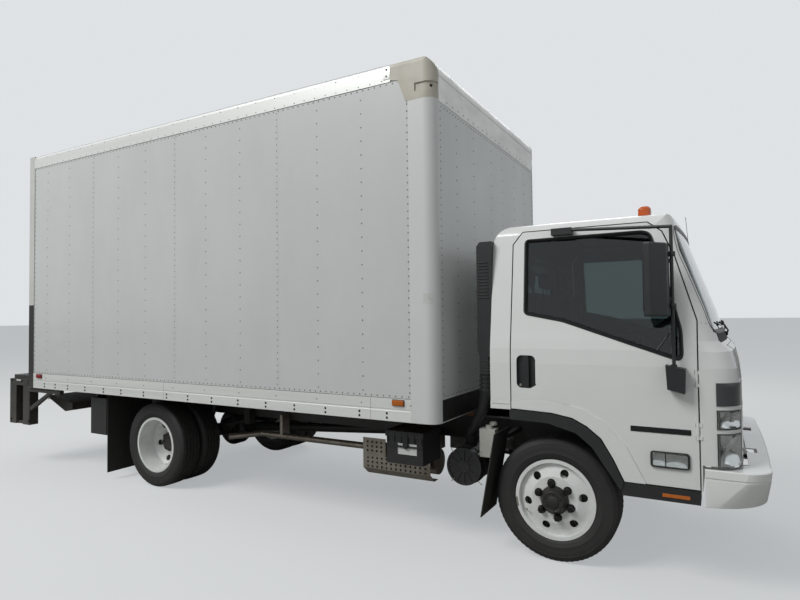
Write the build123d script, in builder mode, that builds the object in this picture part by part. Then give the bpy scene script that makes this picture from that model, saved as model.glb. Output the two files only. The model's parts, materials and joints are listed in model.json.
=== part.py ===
"""A cab-over box truck with a van body and a folding lift gate, in millimetres.

X points forward, Y to the truck's left and Z up. The origin is on the ground, in the
middle of the truck's length and width.
"""

from math import atan2, cos, radians, sin

from build123d import *
import os

os.makedirs("parts", exist_ok=True)

# Driving dimensions: reach and axles
front_reach = 1222
rear_reach = 6140
wheelbase = 3810
front_axle_x = (rear_reach - front_reach) / 2
rear_axle_x = front_axle_x - wheelbase

# Clearances
seat_gap = 0.3
running_gap = 0.3
door_gap = 7

# Tyres and rims
tyre_radius = 402
tyre_half_width = 112.5
bead_radius = 248
rim_wall = 9
rim_flange_radius = 262
front_track = 1665
rear_track = 1650
twin_spacing = 254
stud_circle = 222
stud_count = 6
hand_hole_count = 6
hand_hole_radius = 27
hand_hole_circle = 366
disc_wall = 10

# Chassis
rail_top = 813
rail_height = 180
rail_flange = 70
rail_wall = 6
frame_width = 851
rail_front_x = front_axle_x + 960
bolt_centre_x = front_axle_x - 2500
bolt_pitch_x = 200
bolt_pitch_z = 50
bolt_hole_radius = 6.5
rail_rear_x = front_axle_x - 5060
kingpin_y = 745
kingpin_radius = 20
spindle_radius = 30

# Van body
body_width = 2438
wall_thickness = 38
rail_skin = 6
body_front_x = front_axle_x - 706
body_rear_x = front_axle_x - 5717
body_bottom = 877
floor_top = 1000
floor_thickness = 35
lower_rail_top = 1037
upper_rail_bottom = 3300
body_top = 3436
corner_radius = 84
roof_edge_radius = 36
front_band_radius = 120
rear_post_depth = 96
rear_post_width = 99

# Cab
cab_rear_x = front_axle_x - 395
cab_wall = 50
door_thickness = 55
cab_floor = 1040
tilt_x = front_axle_x + 1095
tilt_z = 700
door_seam_x = front_axle_x + 860
door_hinge_x = door_seam_x - door_gap - 5
door_hinge_y = 1030

# Sides of the truck: the sign of Y, and the word in a node's name
sides = ((-1, "right"), (1, "left"))


def block(x0, x1, y0, y1, z0, z1, mode=Mode.ADD):
    """A plain block between two corners, in the part being built."""
    with Locations(((x0 + x1) / 2, (y0 + y1) / 2, (z0 + z1) / 2)):
        Box(abs(x1 - x0), abs(y1 - y0), abs(z1 - z0), mode=mode)


def side_prism(points, y0, y1, mode=Mode.ADD):
    """An outline of X and Z points, carried across the truck from y0 to y1."""
    with BuildSketch(Plane.XZ.offset(-max(y0, y1))) as outline:
        with BuildLine():
            Polyline(*points, close=True)
        make_face()
    extrude(outline.sketch, amount=abs(y1 - y0), mode=mode)


def end_prism(points, x0, x1, mode=Mode.ADD):
    """An outline of Y and Z points, carried along the truck from x0 to x1."""
    with BuildSketch(Plane.YZ.offset(min(x0, x1))) as outline:
        with BuildLine():
            Polyline(*points, close=True)
        make_face()
    extrude(outline.sketch, amount=abs(x1 - x0), mode=mode)


def rod(start, end, radius, mode=Mode.ADD):
    """A round bar between two points."""
    run = Vector(*end) - Vector(*start)
    with BuildSketch(Plane(origin=start, z_dir=run)) as section:
        Circle(radius)
    extrude(section.sketch, amount=run.length, mode=mode)


def turned(points, centre, mode=Mode.ADD):
    """A ring or disc turned about a cross axis: points are radius and distance along Y."""
    with BuildSketch(Plane(origin=centre, x_dir=(1, 0, 0), z_dir=(0, 0, 1))) as outline:
        with BuildLine():
            Polyline(*points, close=True)
        make_face()
    revolve(outline.sketch, axis=Axis(centre, (0, 1, 0)), mode=mode)


def mirrored(piece, word):
    """The same piece on the truck's other side, with its own label."""
    other = piece.mirror(Plane.XZ)
    other.label = word
    return other


# Chassis frame: two channels, and the members between them

rail_bottom = rail_top - rail_height
frame_half = frame_width / 2
rail_inner = frame_half - rail_flange
with BuildPart() as frame_rails:
    channel = (
        (frame_half, rail_bottom),
        (frame_half, rail_top),
        (rail_inner, rail_top),
        (rail_inner, rail_top - rail_wall),
        (frame_half - rail_wall, rail_top - rail_wall),
        (frame_half - rail_wall, rail_bottom + rail_wall),
        (rail_inner, rail_bottom + rail_wall),
        (rail_inner, rail_bottom),
    )
    end_prism(channel, rail_rear_x, rail_front_x)
    for x in (-bolt_pitch_x / 2, bolt_pitch_x / 2):
        for z in (-bolt_pitch_z / 2, bolt_pitch_z / 2):
            hole_x = bolt_centre_x + x
            hole_z = rail_top - rail_height / 2 + z
            rod(
                (hole_x, rail_inner, hole_z),
                (hole_x, frame_half + 10, hole_z),
                bolt_hole_radius,
                mode=Mode.SUBTRACT,
            )
    mirror(about=Plane.XZ)
frame_rails.part.label = "frame_rails"
export_step(frame_rails.part, "parts/frame_rails.step")

web_inner = frame_half - rail_wall
member_top = rail_top - rail_wall
member_height = 110
member_wall = 8
member_depth = 60
member_xs = [front_axle_x + d for d in (900, -1350, -2300, -3150, -3810, -4450, -5030)]
bracket_y = 390
bracket_half = 20
pin_radius = 12
pin_half = 46
nose_overlap = 70
nose_eye = 22
cab_rest_x = front_axle_x - 360
with BuildPart() as crossmembers:
    for x in member_xs:
        section = (
            (x - member_depth / 2, member_top - member_height),
            (x - member_depth / 2, member_top),
            (x + member_depth / 2, member_top),
            (x + member_depth / 2, member_top - member_wall),
            (x - member_depth / 2 + member_wall, member_top - member_wall),
            (x - member_depth / 2 + member_wall, member_top - member_height),
        )
        side_prism(section, -web_inner, web_inner)
    for sign, word in sides:
        y = sign * bracket_y
        nose = (
            (rail_front_x - nose_overlap, rail_bottom + rail_wall),
            (rail_front_x, rail_bottom + rail_wall),
            (tilt_x, tilt_z - nose_eye),
            (tilt_x + nose_eye, tilt_z),
            (tilt_x, tilt_z + nose_eye),
            (rail_front_x + 20, member_top - 60),
            (rail_front_x, member_top),
            (rail_front_x - nose_overlap, member_top),
        )
        side_prism(nose, y - bracket_half, y + bracket_half)
        rod((tilt_x, y - pin_half, tilt_z), (tilt_x, y + pin_half, tilt_z), pin_radius)
        block(cab_rest_x - 20, cab_rest_x + 20, y - 30, y + 30, rail_top, 990 - seat_gap)
crossmembers.part.label = "crossmembers"
export_step(crossmembers.part, "parts/crossmembers.step")

# Front axle beam, with an eye at each end for its kingpin

boss_radius = 38
with BuildPart() as front_axle:
    block(front_axle_x - 40, front_axle_x + 40, -kingpin_y, kingpin_y, tyre_radius - 45, tyre_radius + 45)
    for step in (-1, 1):
        block(
            front_axle_x + step * 27 - 13,
            front_axle_x + step * 27 + 13,
            -620,
            620,
            tyre_radius - 29,
            tyre_radius + 29,
            mode=Mode.SUBTRACT,
        )
    for sign, word in sides:
        y = sign * kingpin_y
        rod((front_axle_x, y, tyre_radius - 45), (front_axle_x, y, tyre_radius + 45), boss_radius)
        block(front_axle_x - 45, front_axle_x + 45, y, y + sign * 60, 300, 500, mode=Mode.SUBTRACT)
        rod((front_axle_x, y, tyre_radius - 45), (front_axle_x, y, tyre_radius + 45), boss_radius)
        rod(
            (front_axle_x, y, tyre_radius - 60),
            (front_axle_x, y, tyre_radius + 60),
            kingpin_radius + running_gap,
            mode=Mode.SUBTRACT,
        )
front_axle.part.label = "front_axle"
export_step(front_axle.part, "parts/front_axle.step")

# Steering knuckles: two ears round the kingpin, a web, and the wheel's spindle

web_y = 792
web_wall = 20
spindle_end_y = 955
for sign, word in sides:
    with BuildPart() as knuckle:
        y = sign * kingpin_y
        pin_bottom = tyre_radius - 82
        pin_top = tyre_radius + 82
        rod((front_axle_x, y, pin_bottom), (front_axle_x, y, pin_top), kingpin_radius)
        for low, high in ((pin_bottom, tyre_radius - 50), (tyre_radius + 50, pin_top)):
            rod((front_axle_x, y, low), (front_axle_x, y, high), boss_radius)
            block(front_axle_x - 30, front_axle_x + 30, y, sign * (web_y + 5), low, high)
        block(
            front_axle_x - 40,
            front_axle_x + 40,
            sign * web_y,
            sign * (web_y + web_wall),
            pin_bottom,
            pin_top,
        )
        rod(
            (front_axle_x, sign * (web_y + 5), tyre_radius),
            (front_axle_x, sign * spindle_end_y, tyre_radius),
            spindle_radius,
        )
        block(
            front_axle_x - 170,
            front_axle_x - 25,
            sign * (kingpin_y - 15),
            sign * (kingpin_y + 10),
            pin_bottom,
            pin_bottom + 25,
        )
    knuckle.part.label = f"knuckle_{word}"
    export_step(knuckle.part, f"parts/{knuckle.part.label}.step")

# Rear axle: a banjo housing with a tube and a spindle at each end

rear_tube_radius = 60
rear_spindle_radius = 45
rear_tube_end_y = 615
rear_spindle_end_y = 868
rear_centre = (rear_axle_x, 0, tyre_radius)
with BuildPart() as rear_axle:
    rod(
        (rear_axle_x, -rear_tube_end_y, tyre_radius),
        (rear_axle_x, rear_tube_end_y, tyre_radius),
        rear_tube_radius,
    )
    rod(
        (rear_axle_x, -rear_spindle_end_y, tyre_radius),
        (rear_axle_x, rear_spindle_end_y, tyre_radius),
        rear_spindle_radius,
    )
    banjo = ((0, -95), (150, -95), (190, -55), (190, 55), (150, 95), (0, 95))
    turned(banjo, rear_centre)
    rod((rear_axle_x + 60, 0, tyre_radius + 20), (rear_axle_x + 330, 0, tyre_radius + 30), 65)
    for sign, word in sides:
        block(
            rear_axle_x - 60,
            rear_axle_x + 60,
            sign * 435,
            sign * 515,
            tyre_radius,
            tyre_radius + 80,
        )
rear_axle.part.label = "rear_axle"
export_step(rear_axle.part, "parts/rear_axle.step")

# Leaf springs: packs bent as arcs, with the hangers that hold their eyes

leaf_thickness = 9
leaf_shares = (1, 0.88, 0.7, 0.5)
leaf_pack = leaf_thickness * len(leaf_shares)
clamp_half = 60
spring_rows = (
    (front_axle_x, 620, 356, 424, tyre_radius + 45, 588, rail_bottom, 356),
    (rear_axle_x, 660, 436, 506, tyre_radius + 80, 590, rail_bottom + 110, frame_half),
)
# Columns of a row: centre, half span, inner and outer side, seat, eye, hanger's top and side
with BuildPart() as leaf_springs:
    for centre_x, half_span, y_inner, y_outer, seat_z, eye_z, hanger_top, hanger_in in spring_rows:
        for sign, word in sides:
            for i, share in enumerate(leaf_shares):
                drop = leaf_thickness * (i + 1)
                low_z = seat_z + leaf_pack - drop
                tip_z = eye_z + leaf_pack / 2 - drop
                with BuildSketch(Plane.XZ.offset(-max(sign * y_inner, sign * y_outer))) as leaf:
                    with BuildLine():
                        lower = ThreePointArc(
                            (centre_x - half_span, tip_z),
                            (centre_x, low_z),
                            (centre_x + half_span, tip_z),
                        )
                        upper = ThreePointArc(
                            (centre_x - half_span, tip_z + leaf_thickness),
                            (centre_x, low_z + leaf_thickness),
                            (centre_x + half_span, tip_z + leaf_thickness),
                        )
                        Line(lower @ 0, upper @ 0)
                        Line(lower @ 1, upper @ 1)
                    make_face()
                    with Locations((centre_x, seat_z)):
                        Rectangle(2 * half_span * share, half_span, mode=Mode.INTERSECT)
                extrude(leaf.sketch, amount=y_outer - y_inner)
            block(
                centre_x - clamp_half,
                centre_x + clamp_half,
                sign * (y_inner - 6),
                sign * (y_outer + 6),
                seat_z + leaf_pack - 2,
                seat_z + leaf_pack + 14,
            )
            for end in (-1, 1):
                x = centre_x + end * half_span
                block(x - 35, x + 35, sign * hanger_in, sign * y_outer, eye_z - 24, hanger_top)
                rod((x, sign * y_inner, eye_z), (x, sign * y_outer, eye_z), 30)
leaf_springs.part.label = "leaf_springs"
export_step(leaf_springs.part, "parts/leaf_springs.step")

# Engine, gearbox and radiator as plain masses in their real places

engine_top = 930
with BuildPart() as engine:
    block(front_axle_x - 500, front_axle_x + 430, -290, 290, 462, engine_top)
    block(front_axle_x - 1100, front_axle_x - 500, -150, 150, 470, 670)
    block(front_axle_x + 430, front_axle_x + 560, -40, 40, 600, 680)
    block(front_axle_x + 560, front_axle_x + 640, -325, 325, 480, engine_top)
    for sign, word in sides:
        block(front_axle_x + 60, front_axle_x + 160, 290 * sign, web_inner * sign, 640, 700)
        block(front_axle_x + 585, front_axle_x + 615, 325 * sign, web_inner * sign, 640, 700)
engine.part.label = "engine"
export_step(engine.part, "parts/engine.step")

shaft_radius = 45
joint_gap = 3.5
with BuildPart() as driveshaft:
    rod(
        (front_axle_x - 1100 - joint_gap, 0, 590),
        (rear_axle_x + 330 + joint_gap, 0, tyre_radius + 30),
        shaft_radius,
    )
driveshaft.part.label = "driveshaft"
export_step(driveshaft.part, "parts/driveshaft.step")

# Exhaust on the right: a canister under a pressed heat shield, and the tail pipe

canister_y = -660
canister_z = 480
canister_radius = 98
shield_y = -900
shield_wall = 5
vent_pitch = 42
vent_radius = 9
# Columns of a vent row: centre along the truck, height, columns and rows of holes
shield_vents = (
    (front_axle_x - 1218, 478, 13, 3),
    (front_axle_x - 1410, 600, 4, 3),
)
with BuildPart() as exhaust:
    rod(
        (front_axle_x - 1480, canister_y, canister_z),
        (front_axle_x - 960, canister_y, canister_z),
        canister_radius,
    )
    pipe_z = canister_z + 10
    rod((front_axle_x - 2960, -500, pipe_z), (front_axle_x - 1560, -500, pipe_z), 28)
    rod((front_axle_x - 1560, -500, pipe_z), (front_axle_x - 1440, -620, pipe_z), 28)
    rod((front_axle_x - 2960, -500, pipe_z), (front_axle_x - 3130, -760, pipe_z), 28)
    for x in (front_axle_x - 2960, front_axle_x - 1560):
        with Locations((x, -500, pipe_z)):
            Sphere(28)
    block(front_axle_x - 2700, front_axle_x - 2670, -528, -frame_half, pipe_z, rail_bottom + 60)
    block(front_axle_x - 1400, front_axle_x - 1360, -620, -frame_half, canister_z + 60, rail_bottom + 20)
    block(front_axle_x - 1060, front_axle_x - 1020, -620, -frame_half, canister_z + 60, rail_bottom + 20)
    low = (
        (shield_y, 525),
        (shield_y, 430),
        (shield_y + 70, 372),
        (shield_y + 130, 372),
        (shield_y + 130, 372 + shield_wall),
        (shield_y + 72, 372 + shield_wall),
        (shield_y + shield_wall, 433),
        (shield_y + shield_wall, 525),
    )
    end_prism(low, front_axle_x - 1515, front_axle_x - 925)
    block(
        front_axle_x - 1515,
        front_axle_x - 1310,
        shield_y,
        shield_y + shield_wall,
        525,
        665,
    )
    with BuildSketch(Plane(origin=(0, shield_y, 0), x_dir=(1, 0, 0), z_dir=(0, -1, 0))) as vents:
        for centre_x, centre_z, columns, rows in shield_vents:
            with Locations((centre_x, centre_z)):
                with GridLocations(vent_pitch, vent_pitch * 0.8, columns, rows):
                    Circle(vent_radius)
    extrude(vents.sketch, amount=shield_wall * 2, both=True, mode=Mode.SUBTRACT)
    for x in (front_axle_x - 1460, front_axle_x - 980):
        block(x - 15, x + 15, shield_y, canister_y - 60, 516, 524)
exhaust.part.label = "exhaust"
export_step(exhaust.part, "parts/exhaust.step")

# Battery box with its lid, on a bracket from the right rail

battery_x0 = front_axle_x - 1190
battery_x1 = front_axle_x - 892
with BuildPart() as battery_box:
    block(battery_x0, battery_x1, -1080, -790, 545, 745)
    block(battery_x0 - 8, battery_x1 + 8, -1088, -782, 740, 783)
    block(battery_x0 + 40, battery_x0 + 110, -795, -frame_half, 640, 700)
battery_box.part.label = "battery_box"
export_step(battery_box.part, "parts/battery_box.step")

# Air cleaner drum lying across the truck, with its hose up to the bellows

cleaner_x = front_axle_x - 655
cleaner_z = 533
cleaner_radius = 133
hose_radius = 40
cleaner_ribs = 12
bellows_rings = 4
snorkel_x = front_axle_x - 460
snorkel_y = -935
bellows_bottom = 1087
bellows_top = 1205
with BuildPart() as air_cleaner:
    rod((cleaner_x, -894, cleaner_z), (cleaner_x, -580, cleaner_z), cleaner_radius)
    rod((cleaner_x, -830, cleaner_z), (cleaner_x, -810, cleaner_z), cleaner_radius + 6)
    rod((cleaner_x, -900, cleaner_z), (cleaner_x, -890, cleaner_z), 42)
    cap_rim = ((cleaner_radius, -903), (cleaner_radius, -890), (118, -890), (118, -903))
    turned(cap_rim, (cleaner_x, 0, cleaner_z))
    with BuildSketch(
        Plane(origin=(cleaner_x, -890, cleaner_z), x_dir=(1, 0, 0), z_dir=(0, -1, 0))
    ) as ribs:
        with PolarLocations(0, cleaner_ribs):
            with Locations((80, 0)):
                Rectangle(90, 9)
    extrude(ribs.sketch, amount=11)
    block(cleaner_x - 40, cleaner_x + 40, -620, -frame_half, 640, 662)
    hose_path = (
        (snorkel_x, snorkel_y, bellows_bottom),
        (snorkel_x - 40, snorkel_y + 35, 960),
        (cleaner_x + 15, -800, 760),
        (cleaner_x, -740, 620),
    )
    rod(hose_path[0], (snorkel_x, snorkel_y, bellows_top), hose_radius)
    ring_pitch = (bellows_top - bellows_bottom) / bellows_rings
    for i in range(bellows_rings):
        z = bellows_bottom + ring_pitch * (i + 0.5)
        rod(
            (snorkel_x, snorkel_y, z - ring_pitch * 0.3),
            (snorkel_x, snorkel_y, z + ring_pitch * 0.3),
            hose_radius + 9,
        )
    for start, end in zip(hose_path, hose_path[1:]):
        rod(start, end, hose_radius)
        with Locations(start):
            Sphere(hose_radius)
air_cleaner.part.label = "air_cleaner"
export_step(air_cleaner.part, "parts/air_cleaner.step")

with BuildPart() as coolant_tank:
    block(front_axle_x - 540, front_axle_x - 424, -880, -800, 613, 812)
    block(front_axle_x - 510, front_axle_x - 440, -805, -frame_half, 650, 680)
    rod((front_axle_x - 480, -840, 812), (front_axle_x - 480, -840, 835), 25)
coolant_tank.part.label = "coolant_tank"
export_step(coolant_tank.part, "parts/coolant_tank.step")

# Fuel tank on the left rail, with its straps

tank_x0 = front_axle_x - 2150
tank_x1 = front_axle_x - 1050
with BuildPart() as fuel_tank:
    section = ((500, 420), (900, 420), (960, 480), (960, 740), (900, 800), (500, 800), (470, 770), (470, 450))
    end_prism(section, tank_x0, tank_x1)
    band = ((496, 414), (903, 414), (966, 477), (966, 743), (903, 806), (496, 806), (464, 773), (464, 447))
    for x in (tank_x0 + 200, tank_x1 - 200):
        end_prism(band, x - 25, x + 25)
    for x in (tank_x0 + 200, tank_x1 - 200):
        block(x - 30, x + 30, frame_half, 480, 640, 760)
    rod((tank_x1 - 120, 900, 700), (tank_x1 - 120, 1010, 750), 40)
fuel_tank.part.label = "fuel_tank"
export_step(fuel_tank.part, "parts/fuel_tank.step")

# Mudguards: a flap behind each wheel, on brackets from the rails and the floor

cross_pitch = 300
cross_bottom = floor_top - floor_thickness - 76
cross_xs = [front_axle_x - 850 - cross_pitch * i for i in range(16)]
flap_wall = 8
with BuildPart() as mudguards:
    for sign, word in sides:
        flap = (
            (front_axle_x - 372, 812),
            (front_axle_x - 372 - flap_wall, 812),
            (front_axle_x - 478 - flap_wall, 240),
            (front_axle_x - 478, 240),
        )
        side_prism(flap, sign * 720, sign * 1025)
        block(front_axle_x - 405, front_axle_x - 375, sign * frame_half, sign * 740, 730, 760)
        block(cross_xs[12] - 4, cross_xs[12] + 4, sign * 600, sign * 1120, 75, cross_bottom)
        block(cross_xs[12] - 20, cross_xs[12] + 20, sign * 600, sign * 1120, 850, cross_bottom)
mudguards.part.label = "mudguards"
export_step(mudguards.part, "parts/mudguards.step")

# Front bumper: a curved shell with a sloping top flange, on stays from the rails

bumper_bottom = 515
bumper_lip = 672
bumper_groove = 682
bumper_top = 730
bumper_wall = 8
bumper_groove_depth = 6
bumper_edge = 5
bumper_side_x = front_axle_x + 878
bumper_half = 1028
bumper_bow = 15
# Columns: height, half width of the nose, its end, the corner's bulge and the corner's side end
bumper_rows = (
    (bumper_bottom, 640, 1192, (1124, 890), (940, 1014)),
    (bumper_lip, 850, 1205, (1170, 970), (1080, 1024)),
    (bumper_top, 855, front_reach - bumper_bow, (1176, 978), (1090, 1026)),
)
intake_half = 380
tilt_slot_half = 64


def bumper_outline(row, inset, height):
    """The bumper's plan at one row of the table, drawn in by inset, at a height."""
    low_z, nose_half, nose_x, bulge, side_end = row
    with BuildSketch(Plane.XY.offset(height)) as plan:
        with BuildLine():
            nose = ThreePointArc(
                (front_axle_x + nose_x - inset, -nose_half + inset / 2),
                (front_axle_x + nose_x + bumper_bow - inset, 0),
                (front_axle_x + nose_x - inset, nose_half - inset / 2),
            )
            left = ThreePointArc(
                nose @ 1,
                (front_axle_x + bulge[0] - inset * 0.7, bulge[1] - inset * 0.7),
                (front_axle_x + side_end[0], side_end[1] - inset),
            )
            right = ThreePointArc(
                nose @ 0,
                (front_axle_x + bulge[0] - inset * 0.7, -bulge[1] + inset * 0.7),
                (front_axle_x + side_end[0], -side_end[1] + inset),
            )
            Line(left @ 1, (bumper_side_x, bumper_half - inset))
            Line(right @ 1, (bumper_side_x, -bumper_half + inset))
            Line((bumper_side_x, -bumper_half + inset), (bumper_side_x, bumper_half - inset))
        make_face()
    return plan.sketch


def bumper_band(lower, upper, mode=Mode.ADD):
    """A band of the bumper's form between two plans, each a row, an inset and a height."""
    loft((bumper_outline(*lower), bumper_outline(*upper)), ruled=True, mode=mode)


foot_row, lip_row, top_row = bumper_rows
edge_z = bumper_top - bumper_edge
groove_inner = bumper_wall + bumper_groove_depth
with BuildPart() as front_bumper:
    bumper_band((foot_row, 0, bumper_bottom), (lip_row, 0, bumper_lip))
    bumper_band((lip_row, bumper_groove_depth, bumper_lip), (lip_row, bumper_groove_depth, bumper_groove))
    bumper_band((lip_row, 0, bumper_groove), (top_row, 0, edge_z))
    bumper_band((top_row, 0, edge_z), (top_row, bumper_edge, bumper_top))
    bumper_band(
        (foot_row, bumper_wall, bumper_bottom),
        (lip_row, bumper_wall, bumper_lip),
        mode=Mode.SUBTRACT,
    )
    bumper_band(
        (lip_row, groove_inner, bumper_lip),
        (lip_row, groove_inner, bumper_top - bumper_wall),
        mode=Mode.SUBTRACT,
    )
    block(
        front_axle_x + 700,
        front_axle_x + 1100,
        -830,
        830,
        bumper_bottom - 10,
        bumper_top + 10,
        mode=Mode.SUBTRACT,
    )
    block(
        front_axle_x + 700,
        front_axle_x + 960,
        -bumper_half + 60,
        bumper_half - 60,
        bumper_bottom - 10,
        bumper_top + 10,
        mode=Mode.SUBTRACT,
    )
    for sign, word in sides:
        y = sign * bracket_y
        block(
            front_axle_x + 1050,
            front_axle_x + 1160,
            y - tilt_slot_half,
            y + tilt_slot_half,
            bumper_top - 30,
            bumper_top + 10,
            mode=Mode.SUBTRACT,
        )
        block(rail_front_x, front_axle_x + 1200, sign * 465, sign * 495, 570, 650)
        block(rail_front_x, rail_front_x + 30, sign * frame_half, sign * 495, 570, 650)
        block(rail_front_x - 60, rail_front_x + 30, sign * frame_half, sign * (frame_half + 10), 570, 700)
    for z in (560, 592, 624):
        block(
            front_axle_x + 1150,
            front_axle_x + 1300,
            -intake_half,
            intake_half,
            z,
            z + 20,
            mode=Mode.SUBTRACT,
        )
front_bumper.part.label = "front_bumper"
export_step(front_bumper.part, "parts/front_bumper.step")

# Wheels: a rim with a pressed disc, six studs and a hub, and the tyres

tyre_half = (
    (bead_radius + seat_gap, 90),
    (332, tyre_half_width),
    (386, 101),
    (tyre_radius, 84),
)


def tyre(centre):
    """A tyre's section turned about its axle."""
    outer = [(r, w) for r, w in tyre_half]
    turned(outer + [(r, -w) for r, w in reversed(outer)], centre)


def rim(centre):
    """A rim's barrel with its two flanges."""
    inner = bead_radius - rim_wall
    section = (
        (rim_flange_radius, -102),
        (rim_flange_radius, -95),
        (bead_radius, -95),
        (bead_radius, 95),
        (rim_flange_radius, 95),
        (rim_flange_radius, 102),
        (inner, 102),
        (inner, -102),
    )
    turned(section, centre)


front_disc_y = 100
for sign, word in sides:
    centre = (front_axle_x, sign * front_track / 2, tyre_radius)
    with BuildPart() as front_wheel:
        rim(centre)
        disc = (
            (60, front_disc_y),
            (150, front_disc_y),
            (205, front_disc_y - 22),
            (bead_radius - 4, front_disc_y - 36),
            (bead_radius - 4, front_disc_y - 36 - disc_wall),
            (203, front_disc_y - 22 - disc_wall),
            (148, front_disc_y - disc_wall),
            (60, front_disc_y - disc_wall),
        )
        turned([(r, sign * w) for r, w in disc], centre)
        with BuildSketch(Plane(origin=centre, x_dir=(1, 0, 0), z_dir=(0, sign, 0))) as holes:
            with PolarLocations(hand_hole_circle / 2, hand_hole_count, start_angle=10):
                Circle(hand_hole_radius)
        extrude(holes.sketch, amount=130, mode=Mode.SUBTRACT)
        hub = (
            (spindle_radius + running_gap, -5),
            (160, -5),
            (160, 70),
            (95, 70),
            (90, front_disc_y - 2),
            (72, front_disc_y - 2),
            (64, 148),
            (0, 152),
            (0, 130),
            (spindle_radius + running_gap, 130),
        )
        turned([(r, sign * w) for r, w in hub], centre)
        with BuildSketch(
            Plane(
                origin=(front_axle_x, centre[1] + sign * (front_disc_y - 4), tyre_radius),
                x_dir=(1, 0, 0),
                z_dir=(0, sign, 0),
            )
        ) as nuts:
            with PolarLocations(stud_circle / 2, stud_count, start_angle=40):
                RegularPolygon(19, 6)
        extrude(nuts.sketch, amount=32)
    front_wheel.part.label = f"front_wheel_{word}"
    export_step(front_wheel.part, f"parts/{front_wheel.part.label}.step")

    with BuildPart() as front_tyre:
        tyre(centre)
    front_tyre.part.label = f"front_tyre_{word}"
    export_step(front_tyre.part, f"parts/{front_tyre.part.label}.step")

for sign, word in sides:
    middle_y = rear_track / 2
    with BuildPart() as rear_wheels:
        for step in (-1, 1):
            centre = (rear_axle_x, sign * (middle_y + step * twin_spacing / 2), tyre_radius)
            rim(centre)
            face = -step * (twin_spacing / 2)
            disc = (
                (70, face),
                (150, face),
                (205, face + step * 26),
                (bead_radius - 4, face + step * 50),
                (bead_radius - 4, face + step * (50 + disc_wall)),
                (203, face + step * (26 + disc_wall)),
                (148, face + step * disc_wall),
                (70, face + step * disc_wall),
            )
            turned([(r, sign * w) for r, w in disc], centre)
        outer_centre = (rear_axle_x, sign * middle_y, tyre_radius)
        with BuildSketch(
            Plane(origin=(rear_axle_x, 0, tyre_radius), x_dir=(1, 0, 0), z_dir=(0, sign, 0))
        ) as holes:
            with PolarLocations(hand_hole_circle / 2, hand_hole_count, start_angle=10):
                Circle(hand_hole_radius)
        extrude(holes.sketch.moved(Location((0, sign * 700, 0))), amount=260, mode=Mode.SUBTRACT)
        hub = (
            (rear_spindle_radius + running_gap, -190),
            (165, -190),
            (165, -disc_wall),
            (90, -disc_wall),
            (90, 60),
            (80, 68),
            (0, 70),
            (0, 46),
            (rear_spindle_radius + running_gap, 46),
        )
        turned([(r, sign * w) for r, w in hub], outer_centre)
        with BuildSketch(
            Plane(
                origin=(rear_axle_x, sign * (middle_y + disc_wall - 2), tyre_radius),
                x_dir=(1, 0, 0),
                z_dir=(0, sign, 0),
            )
        ) as nuts:
            with PolarLocations(stud_circle / 2, stud_count, start_angle=40):
                RegularPolygon(19, 6)
        extrude(nuts.sketch, amount=34)
    rear_wheels.part.label = f"rear_wheels_{word}"
    export_step(rear_wheels.part, f"parts/{rear_wheels.part.label}.step")

    with BuildPart() as rear_tyres:
        for step in (-1, 1):
            tyre((rear_axle_x, sign * (middle_y + step * twin_spacing / 2), tyre_radius))
    rear_tyres.part.label = f"rear_tyres_{word}"
    export_step(rear_tyres.part, f"parts/{rear_tyres.part.label}.step")

# Van body floor: boards on cross bearers, on two long sills over the rails

half_body = body_width / 2
wall_outer = half_body - rail_skin
wall_inner = wall_outer - wall_thickness
ledge_inner = half_body - 69
rear_frame_x = body_rear_x + rear_post_depth
front_inner_x = body_front_x - 40
shelf_z = floor_top - floor_thickness
with BuildPart() as box_floor:
    block(rear_frame_x, front_inner_x, -wall_inner, wall_inner, shelf_z, floor_top)
    for x in cross_xs:
        block(x - 25, x + 25, -wall_inner + 4, wall_inner - 4, cross_bottom, shelf_z)
    for sign, word in sides:
        block(rear_frame_x, body_front_x - 54, sign * rail_inner, sign * frame_half, rail_top, cross_bottom)
box_floor.part.label = "box_floor"
export_step(box_floor.part, "parts/box_floor.step")

# Casting outline on the body's side: it covers the front upper corner

casting_bottom = 3135
casting_reach = 344
casting_recess_low = 3192
casting_recess_high = 3250
casting_recess_mid = 3220
casting_recess_reach = 148
casting_hole_radius = 11
recess_depth = 9
recess_radius = corner_radius - recess_depth
casting_outline = (
    (body_front_x, casting_bottom),
    (body_front_x - 220, casting_bottom),
    (body_front_x - 280, casting_bottom + 160),
    (body_front_x - casting_reach, casting_bottom + 175),
    (body_front_x - casting_reach, body_top),
    (body_front_x, body_top),
)
post_reach = 204
wall_top = 3380
with BuildPart() as side_walls:
    for sign, word in sides:
        block(
            rear_frame_x,
            body_front_x - post_reach,
            sign * wall_inner,
            sign * wall_outer,
            shelf_z,
            wall_top,
        )
    side_prism(casting_outline, -half_body, half_body, mode=Mode.SUBTRACT)
side_walls.part.label = "side_walls"
export_step(side_walls.part, "parts/side_walls.step")

header_bottom = 3122
header_groove = 3300
front_rail_top = 1040
front_rail_groove = 957
groove_depth = 3
roof_bottom = 3398
roof_top = 3430
roof_front_x = body_front_x - 140
with BuildPart() as front_wall:
    block(
        front_inner_x,
        body_front_x - 3,
        -half_body + corner_radius,
        half_body - corner_radius,
        front_rail_top,
        header_bottom,
    )
front_wall.part.label = "front_wall"
export_step(front_wall.part, "parts/front_wall.step")

with BuildPart() as box_roof:
    block(rear_frame_x, roof_front_x, -wall_inner, wall_inner, roof_bottom, roof_top)
box_roof.part.label = "box_roof"
export_step(box_roof.part, "parts/box_roof.step")

# Body rails: lower rails with a ledge for the bearers and a shelf for the wall,
# upper rails rolled over the roof's edge, and the deep rounded band across the front

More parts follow.
